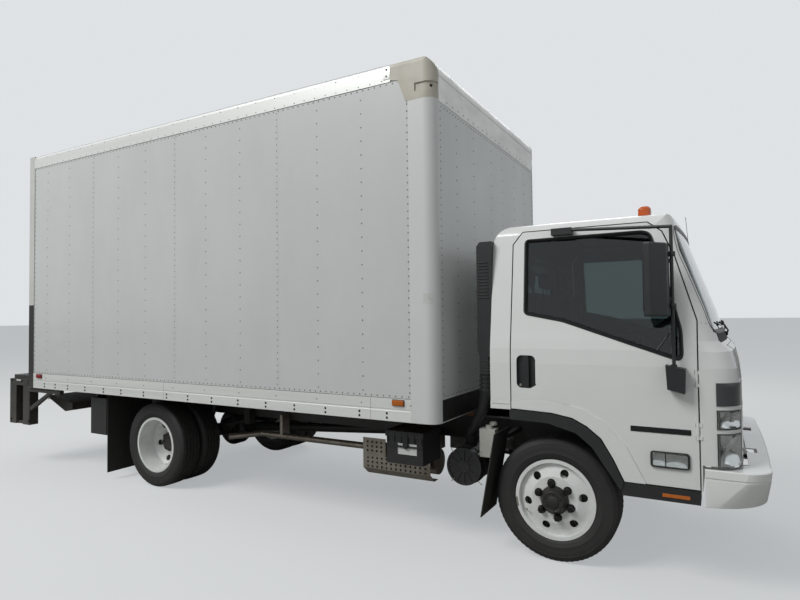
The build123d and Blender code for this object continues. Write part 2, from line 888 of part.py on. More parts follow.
with BuildPart() as box_rails:
    lower_section = (
        (half_body, body_bottom),
        (half_body, 950),
        (half_body - 3, 953),
        (half_body - 3, 962),
        (half_body, shelf_z),
        (half_body, lower_rail_top),
        (wall_outer, lower_rail_top),
        (wall_outer, shelf_z),
        (wall_inner, shelf_z),
        (wall_inner, shelf_z - 8),
        (half_body - 8, shelf_z - 8),
        (half_body - 8, cross_bottom),
        (ledge_inner, cross_bottom),
        (ledge_inner, body_bottom),
    )
    end_prism(lower_section, rear_frame_x, body_front_x - post_reach)
    with BuildSketch(Plane.YZ.offset(rear_frame_x)) as upper_section:
        with BuildLine():
            edge = ThreePointArc(
                (half_body, body_top - roof_edge_radius),
                (
                    half_body - roof_edge_radius * (1 - cos(radians(45))),
                    body_top - roof_edge_radius * (1 - sin(radians(45))),
                ),
                (half_body - roof_edge_radius, body_top),
            )
            Polyline(
                edge @ 1,
                (half_body - 99, body_top),
                (half_body - 99, roof_top),
                (wall_inner, roof_top),
                (wall_inner, wall_top),
                (wall_outer, wall_top),
                (wall_outer, upper_rail_bottom),
                (half_body, upper_rail_bottom),
                edge @ 0,
            )
        make_face()
    extrude(upper_section.sketch, amount=body_front_x - casting_reach - rear_frame_x)
    mirror(about=Plane.XZ)
    with BuildSketch(Plane.XZ.offset(-(half_body - corner_radius))) as band:
        with BuildLine():
            bend = ThreePointArc(
                (body_front_x, body_top - front_band_radius),
                (
                    body_front_x - front_band_radius * (1 - cos(radians(45))),
                    body_top - front_band_radius * (1 - sin(radians(45))),
                ),
                (body_front_x - front_band_radius, body_top),
            )
            Polyline(
                bend @ 1,
                (body_front_x - 194, body_top),
                (body_front_x - 194, roof_top),
                (roof_front_x, roof_top),
                (roof_front_x, roof_bottom - 10),
                (front_inner_x, 3290),
                (front_inner_x, header_bottom),
                (body_front_x, header_bottom),
                bend @ 0,
            )
        make_face()
    extrude(band.sketch, amount=2 * (half_body - corner_radius))
    block(
        front_inner_x,
        body_front_x,
        -half_body + corner_radius,
        half_body - corner_radius,
        body_bottom,
        front_rail_top,
    )
    for z in (front_rail_groove, header_groove):
        block(
            body_front_x - groove_depth,
            body_front_x + 1,
            -half_body,
            half_body,
            z,
            z + 6,
            mode=Mode.SUBTRACT,
        )
box_rails.part.label = "box_rails"
export_step(box_rails.part, "parts/box_rails.step")

# Corner posts: rounded pressings at the body's front edges

with BuildPart() as corner_posts:
    with BuildSketch(Plane.XY.offset(body_bottom)) as post:
        with BuildLine():
            corner = ThreePointArc(
                (body_front_x - corner_radius, half_body),
                (
                    body_front_x - corner_radius * (1 - cos(radians(45))),
                    half_body - corner_radius * (1 - sin(radians(45))),
                ),
                (body_front_x, half_body - corner_radius),
            )
            Polyline(
                corner @ 1,
                (front_inner_x, half_body - corner_radius),
                (front_inner_x, wall_inner),
                (body_front_x - post_reach, wall_inner),
                (body_front_x - post_reach, half_body),
                corner @ 0,
            )
        make_face()
    extrude(post.sketch, amount=casting_bottom - body_bottom)
    mirror(about=Plane.XZ)
corner_posts.part.label = "corner_posts"
export_step(corner_posts.part, "parts/corner_posts.step")

# Corner castings: the band's curve, the roof edge's curve and the post's curve meet

with BuildPart() as corner_castings:
    side_prism(casting_outline, wall_inner - 40, half_body)
    with BuildSketch(Plane.XY.offset(casting_bottom)) as plan:
        with BuildLine():
            corner = ThreePointArc(
                (body_front_x - corner_radius, half_body),
                (
                    body_front_x - corner_radius * (1 - cos(radians(45))),
                    half_body - corner_radius * (1 - sin(radians(45))),
                ),
                (body_front_x, half_body - corner_radius),
            )
            Polyline(
                corner @ 1,
                (body_front_x - 400, half_body - corner_radius),
                (body_front_x - 400, half_body),
                corner @ 0,
            )
        make_face()
    extrude(plan.sketch, amount=body_top - casting_bottom, mode=Mode.INTERSECT)
    with BuildSketch(Plane.YZ.offset(body_front_x - 400)) as top_edge:
        with BuildLine():
            edge = ThreePointArc(
                (half_body, body_top - roof_edge_radius),
                (
                    half_body - roof_edge_radius * (1 - cos(radians(45))),
                    body_top - roof_edge_radius * (1 - sin(radians(45))),
                ),
                (half_body - roof_edge_radius, body_top),
            )
            Polyline(
                edge @ 1,
                (half_body - 200, body_top),
                (half_body - 200, casting_bottom),
                (half_body, casting_bottom),
                edge @ 0,
            )
        make_face()
    extrude(top_edge.sketch, amount=400, mode=Mode.INTERSECT)
    with BuildSketch(Plane.XZ.offset(-half_body)) as front_edge:
        with BuildLine():
            bend = ThreePointArc(
                (body_front_x, body_top - front_band_radius),
                (
                    body_front_x - front_band_radius * (1 - cos(radians(45))),
                    body_top - front_band_radius * (1 - sin(radians(45))),
                ),
                (body_front_x - front_band_radius, body_top),
            )
            Polyline(
                bend @ 1,
                (body_front_x - 400, body_top),
                (body_front_x - 400, casting_bottom),
                (body_front_x, casting_bottom),
                bend @ 0,
            )
        make_face()
    extrude(front_edge.sketch, amount=200, mode=Mode.INTERSECT)
    block(body_front_x - 400, front_inner_x, 0, wall_inner, 3000, roof_bottom, mode=Mode.SUBTRACT)
    block(body_front_x - 400, roof_front_x, 0, wall_inner, roof_bottom, roof_top, mode=Mode.SUBTRACT)
    with BuildSketch(Plane.XY.offset(casting_recess_low)) as recess:
        with BuildLine():
            corner = ThreePointArc(
                (body_front_x - corner_radius, half_body - recess_depth),
                (
                    body_front_x - recess_depth - recess_radius * (1 - cos(radians(45))),
                    half_body - recess_depth - recess_radius * (1 - sin(radians(45))),
                ),
                (body_front_x - recess_depth, half_body - corner_radius),
            )
            Polyline(
                corner @ 1,
                (body_front_x + 20, half_body - corner_radius),
                (body_front_x + 20, half_body + 20),
                (body_front_x - casting_recess_reach, half_body + 20),
                (body_front_x - casting_recess_reach, half_body - recess_depth),
                corner @ 0,
            )
        make_face()
    extrude(recess.sketch, amount=casting_recess_high - casting_recess_low, mode=Mode.SUBTRACT)
    rod(
        (body_front_x - corner_radius, half_body - corner_radius, casting_recess_mid),
        (body_front_x + 20, half_body + 20, casting_recess_mid),
        casting_hole_radius,
        mode=Mode.SUBTRACT,
    )
    mirror(about=Plane.XZ)
corner_castings.part.label = "corner_castings"
export_step(corner_castings.part, "parts/corner_castings.step")

# Rear frame: two posts, a header and a sill round the doorway

doorway_half = half_body - rear_post_width
doorway_top = 3240
with BuildPart() as rear_frame:
    block(body_rear_x, rear_frame_x, -half_body, half_body, body_bottom, body_top)
    block(
        body_rear_x,
        rear_frame_x,
        -doorway_half,
        doorway_half,
        floor_top,
        doorway_top,
        mode=Mode.SUBTRACT,
    )
rear_frame.part.label = "rear_frame"
export_step(rear_frame.part, "parts/rear_frame.step")

# Roll-up door, shut: a curtain of panels between the posts

door_panel_count = 7
panel_height = (doorway_top - floor_top - 2) / door_panel_count
roll_x = body_rear_x + 30
with BuildPart() as roll_door:
    block(roll_x, roll_x + 25, -doorway_half + 1, doorway_half - 1, floor_top, doorway_top - 2)
    for i in range(1, door_panel_count):
        z = floor_top + panel_height * i
        block(roll_x - 1, roll_x + 4, -doorway_half, doorway_half, z - 3, z + 3, mode=Mode.SUBTRACT)
roll_door.part.label = "roll_door"
export_step(roll_door.part, "parts/roll_door.step")

# Outer lamps: markers on the lower rails, the rear header and the front band, and upright
# tail lamps on the rear posts

lamp_wall = 16
lamp_taper = 20
side_marker_xs = (front_axle_x - 1010, front_axle_x - 5500)
tail_lamp_heights = (1195, 1400)


def lamp_pad(origin, outward, width, height, radius):
    """A lens with sloped sides, seated on a wall that faces outward along X or Y."""
    across = (abs(outward[1]), abs(outward[0]), 0)
    with BuildSketch(Plane(origin=origin, x_dir=across, z_dir=outward)) as base:
        RectangleRounded(width, height, radius)
    extrude(base.sketch, amount=lamp_wall, taper=lamp_taper)


with BuildPart() as marker_lamps:
    for sign, word in sides:
        for x in side_marker_xs:
            lamp_pad((x, sign * half_body, 1009), (0, sign, 0), 96, 42, 8)
        for z in tail_lamp_heights:
            y = sign * (half_body - rear_post_width / 2)
            lamp_pad((body_rear_x, y, z), (-1, 0, 0), 57, 165, 28)
    for y in (-1130, -200, 0, 200, 1130):
        lamp_pad((body_rear_x, y, 3350), (-1, 0, 0), 100, 40, 8)
    for y in (-200, 0, 200):
        lamp_pad((body_front_x, y, 3270), (1, 0, 0), 100, 40, 8)
marker_lamps.part.label = "marker_lamps"
export_step(marker_lamps.part, "parts/marker_lamps.step")

# Lift gate: a fixed deck and step frames, and a folded platform on swinging arms

deck_rear_x = front_axle_x - rear_reach
deck_top = 998
deck_wall = 40
with BuildPart() as lift_deck:
    block(deck_rear_x, body_rear_x, -1150, 1150, deck_top - deck_wall, deck_top)
lift_deck.part.label = "lift_deck"
export_step(lift_deck.part, "parts/lift_deck.step")

step_outer = 1195
step_inner = 1100
step_foot = 455
step_head = deck_top - deck_wall
with BuildPart() as step_frames:
    for sign, word in sides:
        block(deck_rear_x, deck_rear_x + 365, sign * step_inner, sign * step_outer, step_head - 70, step_head)
        block(deck_rear_x, deck_rear_x + 130, sign * step_inner, sign * step_outer, step_foot, step_head)
        block(
            deck_rear_x + 270,
            deck_rear_x + 400,
            sign * step_inner,
            sign * step_outer,
            step_foot,
            step_head - 70,
        )
        block(
            deck_rear_x + 130,
            deck_rear_x + 270,
            sign * step_inner,
            sign * (step_outer - 20),
            step_foot,
            step_foot + 30,
        )
        block(
            deck_rear_x + 300,
            front_axle_x - 5160,
            sign * 1150,
            sign * step_outer,
            826,
            862,
        )
        block(front_axle_x - 5600, front_axle_x - 5560, sign * 1152, sign * 1190, 862, body_bottom)
        block(front_axle_x - 5220, front_axle_x - 5180, sign * 1152, sign * 1190, 862, body_bottom)
        brace = (
            (deck_rear_x + 300, 555),
            (deck_rear_x + 300, 605),
            (front_axle_x - 5400, 830),
            (front_axle_x - 5330, 830),
        )
        side_prism(brace, sign * 1155, sign * (step_outer - 5))
step_frames.part.label = "step_frames"
export_step(step_frames.part, "parts/step_frames.step")

arm_pivot_x = front_axle_x - 4620
arm_pivot_z = 572
arm_end_x = front_axle_x - 5200
arm_end_z = 668
arm_y0 = 285
arm_y1 = 320
pivot_radius = 32
mount_wall = 12
with BuildPart() as lift_mount:
    for sign, word in sides:
        plate = (
            (arm_pivot_x - 260, rail_top - 10),
            (arm_pivot_x + 90, rail_top - 10),
            (arm_pivot_x + 60, arm_pivot_z - 70),
            (arm_pivot_x - 60, arm_pivot_z - 70),
        )
        side_prism(plate, sign * frame_half, sign * (frame_half + mount_wall))
    rod(
        (arm_pivot_x, -frame_half, arm_pivot_z),
        (arm_pivot_x, frame_half, arm_pivot_z),
        pivot_radius,
    )
lift_mount.part.label = "lift_mount"
export_step(lift_mount.part, "parts/lift_mount.step")

arm_eye = 52
gate_pin_radius = 18
with BuildPart() as lift_arms:
    for sign, word in sides:
        rod(
            (arm_pivot_x, sign * arm_y0, arm_pivot_z),
            (arm_pivot_x, sign * arm_y1, arm_pivot_z),
            arm_eye,
        )
        rod((arm_end_x, sign * arm_y0, arm_end_z), (arm_end_x, sign * arm_y1, arm_end_z), 34)
        beam = (
            (arm_pivot_x, arm_pivot_z + 40),
            (arm_end_x, arm_end_z + 30),
            (arm_end_x, arm_end_z - 30),
            (arm_pivot_x, arm_pivot_z - 40),
        )
        side_prism(beam, sign * arm_y0, sign * arm_y1)
    tie_x = (arm_pivot_x + arm_end_x) / 2
    tie_z = (arm_pivot_z + arm_end_z) / 2
    rod((tie_x, -arm_y0 - 5, tie_z), (tie_x, arm_y0 + 5, tie_z), 28)
    rod(
        (arm_pivot_x, -frame_half, arm_pivot_z),
        (arm_pivot_x, frame_half, arm_pivot_z),
        pivot_radius + running_gap,
        mode=Mode.SUBTRACT,
    )
    rod(
        (arm_end_x, -frame_half, arm_end_z),
        (arm_end_x, frame_half, arm_end_z),
        gate_pin_radius + running_gap,
        mode=Mode.SUBTRACT,
    )
lift_arms.part.label = "lift_arms"
export_step(lift_arms.part, "parts/lift_arms.step")

platform_half = 1000
with BuildPart() as lift_platform:
    folded = (
        (front_axle_x - 5710, 735),
        (front_axle_x - 5390, 604),
        (front_axle_x - 5255, 628),
        (front_axle_x - 5255, 705),
        (front_axle_x - 5690, 768),
    )
    side_prism(folded, -platform_half, platform_half)
    for sign, word in sides:
        for y0, y1 in ((arm_y0 - 26, arm_y0 - 8), (arm_y1 + 8, arm_y1 + 26)):
            lug = (
                (front_axle_x - 5260, 640),
                (front_axle_x - 5260, 698),
                (arm_end_x, 698),
                (arm_end_x + 26, 668),
                (arm_end_x, 640),
            )
            side_prism(lug, sign * y0, sign * y1)
        rod(
            (arm_end_x, sign * (arm_y0 - 26), arm_end_z),
            (arm_end_x, sign * (arm_y1 + 26), arm_end_z),
            gate_pin_radius,
        )
lift_platform.part.label = "lift_platform"
export_step(lift_platform.part, "parts/lift_platform.step")

with BuildPart() as pump_box:
    block(front_axle_x - 4760, front_axle_x - 4500, -1100, -700, 440, 810)
    block(cross_xs[13] - 10, cross_xs[13] + 25, -1050, -750, 810, cross_bottom)
pump_box.part.label = "pump_box"
export_step(pump_box.part, "parts/pump_box.step")

# Cab form: sections drawn at several heights and joined by straight walls.
# Columns: height, front on the centre line ahead of the front axle, half width, how far
# the nose falls back from the centre to its corners, and the corners' radius
cab_sections = (
    (540, 1094, 1026, 30, 150),
    (1200, 1092, 1034, 30, 150),
    (1300, 1082, 1034, 30, 150),
    (1395, 1062, 1030, 34, 150),
    (1455, 1008, 1022, 40, 146),
    (1510, 994, 1013, 42, 144),
    (1645, 959, 994, 44, 138),
    (2190, 768, 918, 30, 112),
    (2320, 708, 900, 22, 108),
)


def cab_form(inset):
    """The cab's outer form without its roof curve, drawn in by inset."""
    with BuildPart() as form:
        for height, front, half, sag, corner in cab_sections:
            lean = 2 * atan2(sag, half - corner)
            x_front = front_axle_x + front - inset
            x_corner = x_front - sag
            x_side = x_corner - cos(lean) * (corner - inset)
            y_side = half - inset
            y_corner = y_side - (1 - sin(lean)) * (corner - inset)
            x_rear = cab_rear_x + inset
            with BuildSketch(Plane.XY.offset(height)):
                with BuildLine():
                    nose = ThreePointArc((x_corner, -y_corner), (x_front, 0), (x_corner, y_corner))
                    left = TangentArc((x_side, y_side), nose @ 1, tangent=(1, 0))
                    right = TangentArc((x_side, -y_side), nose @ 0, tangent=(1, 0))
                    Line(left @ 0, (x_rear, y_side))
                    Line((x_rear, y_side), (x_rear, -y_side))
                    Line((x_rear, -y_side), right @ 0)
                make_face()
        loft(ruled=True)
    return form.part


# The wheel arch's edge on the cab's side, from the rear down to the step

arch_edge = [
    (front_axle_x + x, z)
    for x, z in (
        (-395, 990),
        (-214, 990),
        (15, 981),
        (144, 958),
        (230, 915),
        (314, 847),
        (383, 730),
        (445, 600),
    )
]
cab_front_low_x = front_axle_x + 868
cab_front_low_z = 750
cab_bottom = 600

# The crease over the arch, from the rear down to the step: what lies below it stands proud

crease = [
    (front_axle_x + x, z)
    for x, z in (
        (-395, 1040),
        (-248, 1049),
        (-9, 1064),
        (208, 1027),
        (340, 955),
        (466, 812),
        (564, 618),
        (570, cab_bottom),
    )
]
flare_half = 1037


def roof_profile(lower, inset, rear_x):
    """The cab's side view above the given lower outline, as a closed sketch face."""
    with BuildSketch(Plane.XZ.offset(-1400)) as profile:
        with BuildLine():
            rear_bend = ThreePointArc(
                (rear_x, 2085 - inset),
                (rear_x + 40, 2195 - inset),
                (rear_x + 150, 2240 - inset),
            )
            crown = ThreePointArc(
                rear_bend @ 1,
                (front_axle_x + 180, 2262 - inset),
                (front_axle_x + 600, 2246 - inset),
            )
            brow = ThreePointArc(
                crown @ 1,
                (front_axle_x + 700, 2232 - inset),
                (front_axle_x + 775, 2190 - inset),
            )
            Polyline(brow @ 1, (front_axle_x + 1300, 2190 - inset), *lower, rear_bend @ 0)
        make_face()
    return profile.sketch


def roof_crown(inset):
    """The cab's front view: an open width with rounded roof edges, as a closed face."""
    with BuildSketch(Plane.YZ.offset(-400 + front_axle_x - 200)) as crown:
        with BuildLine():
            left = ThreePointArc(
                (927 - inset, 2130),
                (896 - inset, 2206 - inset),
                (815 - inset, 2238 - inset),
            )
            top = ThreePointArc(left @ 1, (0, 2262 - inset), (-815 + inset, 2238 - inset))
            right = ThreePointArc(top @ 1, (-896 + inset, 2206 - inset), (-927 + inset, 2130))
            Polyline(right @ 1, (-1300, 2130), (-1300, 400), (1300, 400), (1300, 2130), left @ 0)
        make_face()
    return crown.sketch


def door_opening(inset, mode):
    """The door opening's outline, drawn in by inset, carried through the right side."""
    with BuildSketch(Plane.XZ.offset(600)) as outline:
        with BuildLine():
            Polyline(
                (front_axle_x - 256, 990),
                (front_axle_x - 256, 2100),
                (front_axle_x - 190, 2186),
                (front_axle_x + 596, 2186),
                (front_axle_x + 680, 2120),
                (front_axle_x + 750, 1955),
                (door_seam_x, 1574),
                (door_seam_x, cab_bottom),
                *reversed(arch_edge[1:]),
                close=True,
            )
        make_face()
        if inset:
            offset(amount=-inset, kind=Kind.INTERSECTION)
    extrude(outline.sketch, amount=600, mode=mode)


def window_opening(mode):
    """The door window's outline, carried through the right side."""
    with BuildSketch(Plane.XZ.offset(600)) as outline:
        with BuildLine():
            Polyline(
                (front_axle_x - 165, 2120),
                (front_axle_x - 160, 1627),
                (front_axle_x + 90, 1578),
                (front_axle_x + 400, 1470),
                (front_axle_x + 760, 1346),
                (front_axle_x + 777, 1373),
                (front_axle_x + 772, 1520),
                (front_axle_x + 690, 1850),
                (front_axle_x + 610, 2105),
                (front_axle_x + 570, 2124),
                close=True,
            )
        make_face()
    extrude(outline.sketch, amount=600, mode=mode)


screen_outline = (
    (-935, 1505),
    (935, 1505),
    (905, 2000),
    (865, 2150),
    (-865, 2150),
    (-905, 2000),
)
screen_rebate = 20
screen_lip = 34


def screen_opening(inset, mode):
    """The windscreen's outline, drawn in by inset, carried through the cab's front."""
    with BuildSketch(Plane.YZ.offset(front_axle_x + 500)) as outline:
        with BuildLine():
            Polyline(*screen_outline, close=True)
        make_face()
        if inset:
            offset(amount=-inset, kind=Kind.INTERSECTION)
    extrude(outline.sketch, amount=800, mode=mode)


rear_window_outline = ((-560, 1560), (560, 1560), (560, 1960), (-560, 1960))
lamp_inner_y = 690
lamp_back_x = front_axle_x + 944
lamp_proud = 4
lamp_depth = 36
# Rows: the headlamp and the direction lamp over it, then the cap that closes their housing
lens_heights = ((745, 935), (957, 1067))
cap_heights = ((1090, 1220),)
grille_half = 560
grille_low = 880
grille_high = 1010
tunnel_half = 430

hinge_heights = (940, 1240)
hinge_half = 25
hinge_eye = 22
hinge_radius = 9
hinge_pin_radius = 5
hinge_relief = 2

outer_form = cab_form(0)
opening_form = cab_form(door_thickness + door_gap)
inner_form = cab_form(cab_wall)
door_skin = cab_form(door_thickness)
rebate_form = cab_form(screen_rebate)
lamp_back_form = cab_form(lamp_depth)
lamp_front_form = cab_form(-lamp_proud)

with BuildPart() as footwells:
    well = (
        (front_axle_x + 500, cab_bottom + 50),
        (front_axle_x + 822, cab_bottom + 50),
        (front_axle_x + 822, 820),
        (front_axle_x + 1030, 1000),
        (front_axle_x + 1030, 1100),
        (front_axle_x + 500, 1100),
    )
    for sign, word in sides:
        side_prism(well, sign * (tunnel_half + 20), sign * 1100)
    add(inner_form, mode=Mode.INTERSECT)

with BuildPart() as cab_void:
    add(inner_form)
    void_floor = (
        (front_axle_x + 1300, 1000),
        (front_axle_x + 440, 1000),
        (front_axle_x + 440, cab_floor),
        (cab_rear_x + cab_wall, cab_floor),
    )
    extrude(roof_profile(void_floor, 45, cab_rear_x + cab_wall), amount=2800, mode=Mode.INTERSECT)
    extrude(roof_crown(45), amount=2400, mode=Mode.INTERSECT)
    add(footwells.part)

with BuildPart() as door_cut:
    add(outer_form)
    add(opening_form, mode=Mode.SUBTRACT)
    door_opening(0, Mode.INTERSECT)
    mirror(about=Plane.XZ)

with BuildPart() as flare:
    side_prism([*crease, *reversed(arch_edge)], -1000, -flare_half)

with BuildPart() as cab_flare:
    add(flare.part)
    door_opening(0, Mode.SUBTRACT)
    mirror(about=Plane.XZ)

with BuildPart() as lamp_housing:
    add(lamp_front_form)
    add(lamp_back_form, mode=Mode.SUBTRACT)
    block(lamp_back_x, front_axle_x + 1200, -1100, -lamp_inner_y, 700, 1300, mode=Mode.INTERSECT)
    mirror(about=Plane.XZ)


def lamp_band(heights):
    """The slices of the lamp housing between the given heights, on both sides."""
    with BuildPart() as band:
        for low, high in heights:
            block(lamp_back_x - 10, front_axle_x + 1200, -1200, 1200, low, high)
        add(lamp_housing.part, mode=Mode.INTERSECT)
    return band.part


lenses = lamp_band(lens_heights)
caps = lamp_band(cap_heights)

with BuildPart() as screen_rim:
    add(outer_form)
    add(rebate_form, mode=Mode.SUBTRACT)
    screen_opening(0, Mode.INTERSECT)

with BuildPart() as cab_shell:
    add(outer_form)
    cab_floor_line = (
        (front_axle_x + 1300, cab_front_low_z),
        (cab_front_low_x, cab_front_low_z),
        (cab_front_low_x, cab_bottom),
        *reversed(arch_edge),
    )
    extrude(roof_profile(cab_floor_line, 0, cab_rear_x), amount=2800, mode=Mode.INTERSECT)
    extrude(roof_crown(0), amount=2400, mode=Mode.INTERSECT)
    add(cab_void.part, mode=Mode.SUBTRACT)
    block(
        cab_rear_x - 100,
        front_axle_x + 1094 - cab_wall,
        -tunnel_half,
        tunnel_half,
        cab_bottom - 100,
        960,
        mode=Mode.SUBTRACT,
    )
    add(door_cut.part, mode=Mode.SUBTRACT)
    add(cab_flare.part)
    add(screen_rim.part, mode=Mode.SUBTRACT)
    screen_opening(screen_lip, Mode.SUBTRACT)
    end_prism(rear_window_outline, cab_rear_x - 50, cab_rear_x + 100, mode=Mode.SUBTRACT)
    block(
        front_axle_x + 980,
        front_axle_x + 1200,
        -grille_half,
        grille_half,
        grille_low,
        grille_high,
        mode=Mode.SUBTRACT,
    )
    add(lenses, mode=Mode.SUBTRACT)
    add(caps, mode=Mode.SUBTRACT)
    for sign, word in sides:
        for y0, y1 in ((bracket_y - 46, bracket_y - 28), (bracket_y + 28, bracket_y + 46)):
            lug = (
                (tilt_x - 18, tilt_z),
                (tilt_x + 18, tilt_z),
                (tilt_x - 10, cab_front_low_z + 8),
                (tilt_x - 50, cab_front_low_z + 8),
                (tilt_x - 44, cab_front_low_z - 14),
            )
            side_prism(lug, sign * y0, sign * y1)
            rod((tilt_x, sign * y0, tilt_z), (tilt_x, sign * y1, tilt_z), 20)
        rod(
            (tilt_x, sign * (bracket_y - 60), tilt_z),
            (tilt_x, sign * (bracket_y + 60), tilt_z),
            pin_radius + running_gap,
            mode=Mode.SUBTRACT,
        )
    for sign, word in sides:
        pin_y = sign * door_hinge_y
        for height in hinge_heights:
            for low in (height - hinge_half - hinge_eye, height + hinge_half):
                rod(
                    (door_hinge_x, pin_y, low + running_gap),
                    (door_hinge_x, pin_y, low + hinge_eye - running_gap),
                    hinge_radius,
                )
                block(
                    door_hinge_x,
                    door_seam_x + 12,
                    pin_y - sign * 6,
                    pin_y + sign * 4,
                    low + running_gap,
                    low + hinge_eye - running_gap,
                )
            rod(
                (door_hinge_x, pin_y, height - hinge_half - hinge_eye + 2),
                (door_hinge_x, pin_y, height + hinge_half + hinge_eye - 2),
                hinge_pin_radius,
            )
cab_shell.part.label = "cab_shell"
export_step(cab_shell.part, "parts/cab_shell.step")

with BuildPart() as headlamps:
    add(lenses)
headlamps.part.label = "headlamps"
export_step(headlamps.part, "parts/headlamps.step")

with BuildPart() as lamp_caps:
    add(caps)
lamp_caps.part.label = "lamp_caps"
export_step(lamp_caps.part, "parts/lamp_caps.step")

with BuildPart() as cab_windows:
    add(cab_form(6))
    add(cab_form(12), mode=Mode.SUBTRACT)
    screen_opening(0, Mode.INTERSECT)
    end_prism(rear_window_outline, cab_rear_x + 12, cab_rear_x + 18)
cab_windows.part.label = "cab_windows"
export_step(cab_windows.part, "parts/cab_windows.step")

grille_bars = 4
with BuildPart() as grille:
    add(cab_form(8))
    add(cab_form(30), mode=Mode.SUBTRACT)
    block(
        front_axle_x + 980,
        front_axle_x + 1200,
        -grille_half,
        grille_half,
        grille_low,
        grille_high,
        mode=Mode.INTERSECT,
    )
    bar_pitch = (grille_high - grille_low) / grille_bars
    for i in range(grille_bars):
        z = grille_low + bar_pitch * (i + 0.5)
        block(
            front_axle_x + 980,
            front_axle_x + 1200,
            -grille_half + 12,
            grille_half - 12,
            z - 9,
            z + 9,
            mode=Mode.SUBTRACT,
        )
grille.part.label = "grille"
export_step(grille.part, "parts/grille.step")

# Wheel arch trims and steps, under the doors

trim_edge = [
    (front_axle_x + x, z)
    for x, z in (
        (-262, 926),
        (-12, 920),
        (167, 871),
        (264, 792),
        (358, 652),
        (426, 551),
    )
]
trim_half = 1042
with BuildPart() as arch_trims:
    for sign, word in sides:
        arch_top = [(front_axle_x - 262, 990), *arch_edge[1:]]
        side_prism([*arch_top, *reversed(trim_edge)], sign * 900, sign * trim_half)
        block(
            front_axle_x + 430,
            cab_front_low_x - 14,
            sign * 850,
            sign * 1032,
            522,
            cab_bottom,
        )
arch_trims.part.label = "arch_trims"
export_step(arch_trims.part, "parts/arch_trims.step")

# Doors: each a slice of the cab's form as thick as the door, with its window cut

handle_x = front_axle_x - 148
handle_z = 1244
handle_width = 126
handle_height = 214
handle_depth = 28
handle_face = 1034


def handle_pocket(width, height, radius, y_outer, y_inner, mode=Mode.ADD):
    """A rounded block round the handle's middle, between two depths of the right side."""
    with BuildSketch(Plane.XZ.offset(-y_outer)) as outline:
        with Locations((handle_x, handle_z)):
            RectangleRounded(width, height, radius)
    extrude(outline.sketch, amount=y_outer - y_inner, mode=mode)


with BuildPart() as door_flare:
    add(flare.part)
    door_opening(door_gap, Mode.INTERSECT)

with BuildPart() as door_right:
    add(outer_form)
    add(door_skin, mode=Mode.SUBTRACT)
    door_opening(door_gap, Mode.INTERSECT)
    add(door_flare.part)
    window_opening(Mode.SUBTRACT)
    handle_pocket(
        handle_width,
        handle_height,
        34,
        handle_depth - handle_face,
        -handle_face - 20,
        mode=Mode.SUBTRACT,
    )
    for height in hinge_heights:
        for low in (height - hinge_half - hinge_eye, height + hinge_half):
            rod(
                (door_hinge_x, -door_hinge_y, low),
                (door_hinge_x, -door_hinge_y, low + hinge_eye),
                hinge_radius + hinge_relief,
                mode=Mode.SUBTRACT,
            )
        rod(
            (door_hinge_x, -door_hinge_y, height - hinge_half),
            (door_hinge_x, -door_hinge_y, height + hinge_half),
            hinge_radius,
        )
        rod(
            (door_hinge_x, -door_hinge_y, height - hinge_half - hinge_eye),
            (door_hinge_x, -door_hinge_y, height + hinge_half + hinge_eye),
            hinge_pin_radius + running_gap,
            mode=Mode.SUBTRACT,
        )
door_right.part.label = "door_right"
export_step(door_right.part, "parts/door_right.step")
export_step(mirrored(door_right.part, "door_left"), "parts/door_left.step")

with BuildPart() as handle_right:
    pan_face = handle_depth - handle_face
    handle_pocket(handle_width, handle_height, 34, pan_face, pan_face - 4)
    handle_pocket(38, handle_height - 8, 16, pan_face - 22, pan_face - handle_depth)
    for end in (-1, 1):
        z = handle_z + end * (handle_height / 2 - 20)
        block(handle_x - 16, handle_x + 16, pan_face - 24, pan_face, z - 15, z + 15)
handle_right.part.label = "handle_right"
export_step(handle_right.part, "parts/handle_right.step")
export_step(mirrored(handle_right.part, "handle_left"), "parts/handle_left.step")

with BuildPart() as door_glass_right:
    add(cab_form(22))
    add(cab_form(27), mode=Mode.SUBTRACT)
    window_opening(Mode.INTERSECT)
door_glass_right.part.label = "door_glass_right"
export_step(door_glass_right.part, "parts/door_glass_right.step")
export_step(mirrored(door_glass_right.part, "door_glass_left"), "parts/door_glass_left.step")

# Mirrors: a tall head on a tube stay, held at the belt and over the window

mirror_plan = [
    (front_axle_x + x, y)
    for x, y in ((600, -1082), (600, -1252), (640, -1264), (716, -1166), (726, -1108), (690, -1082))
]
mirror_low = 1600
mirror_high = 2020
mirror_edge = 10
stay_x = front_axle_x + 737
stay_y = -1090
stay_radius = 10
with BuildPart() as mirror_right:
    with BuildSketch(Plane.XY.offset(mirror_low)):
        with BuildLine():
            Polyline(*mirror_plan, close=True)
        make_face()
    extrude(amount=mirror_high - mirror_low)
    fillet(mirror_right.edges(), mirror_edge)
    for z in (1700, 1920):
        block(front_axle_x + 680, stay_x, stay_y - 10, stay_y + 10, z - 12, z + 12)
    rod((stay_x, stay_y, 1300), (stay_x, stay_y, 2120), stay_radius)
    with Locations((stay_x, stay_y, 2120)):
        Sphere(stay_radius)
    rod((stay_x, stay_y, 2120), (front_axle_x + 120, -965, 2165), stay_radius)
    block(front_axle_x + 20, front_axle_x + 150, -985, -914, 2135, 2180)
    pod = (
        (front_axle_x + 692, 1320),
        (front_axle_x + 700, 1180),
        (front_axle_x + 790, 1158),
        (front_axle_x + 796, 1300),
    )
    side_prism(pod, -1110, -1020)
    add(outer_form, mode=Mode.SUBTRACT)
mirror_right.part.label = "mirror_right"
export_step(mirror_right.part, "parts/mirror_right.step")
export_step(mirrored(mirror_right.part, "mirror_left"), "parts/mirror_left.step")

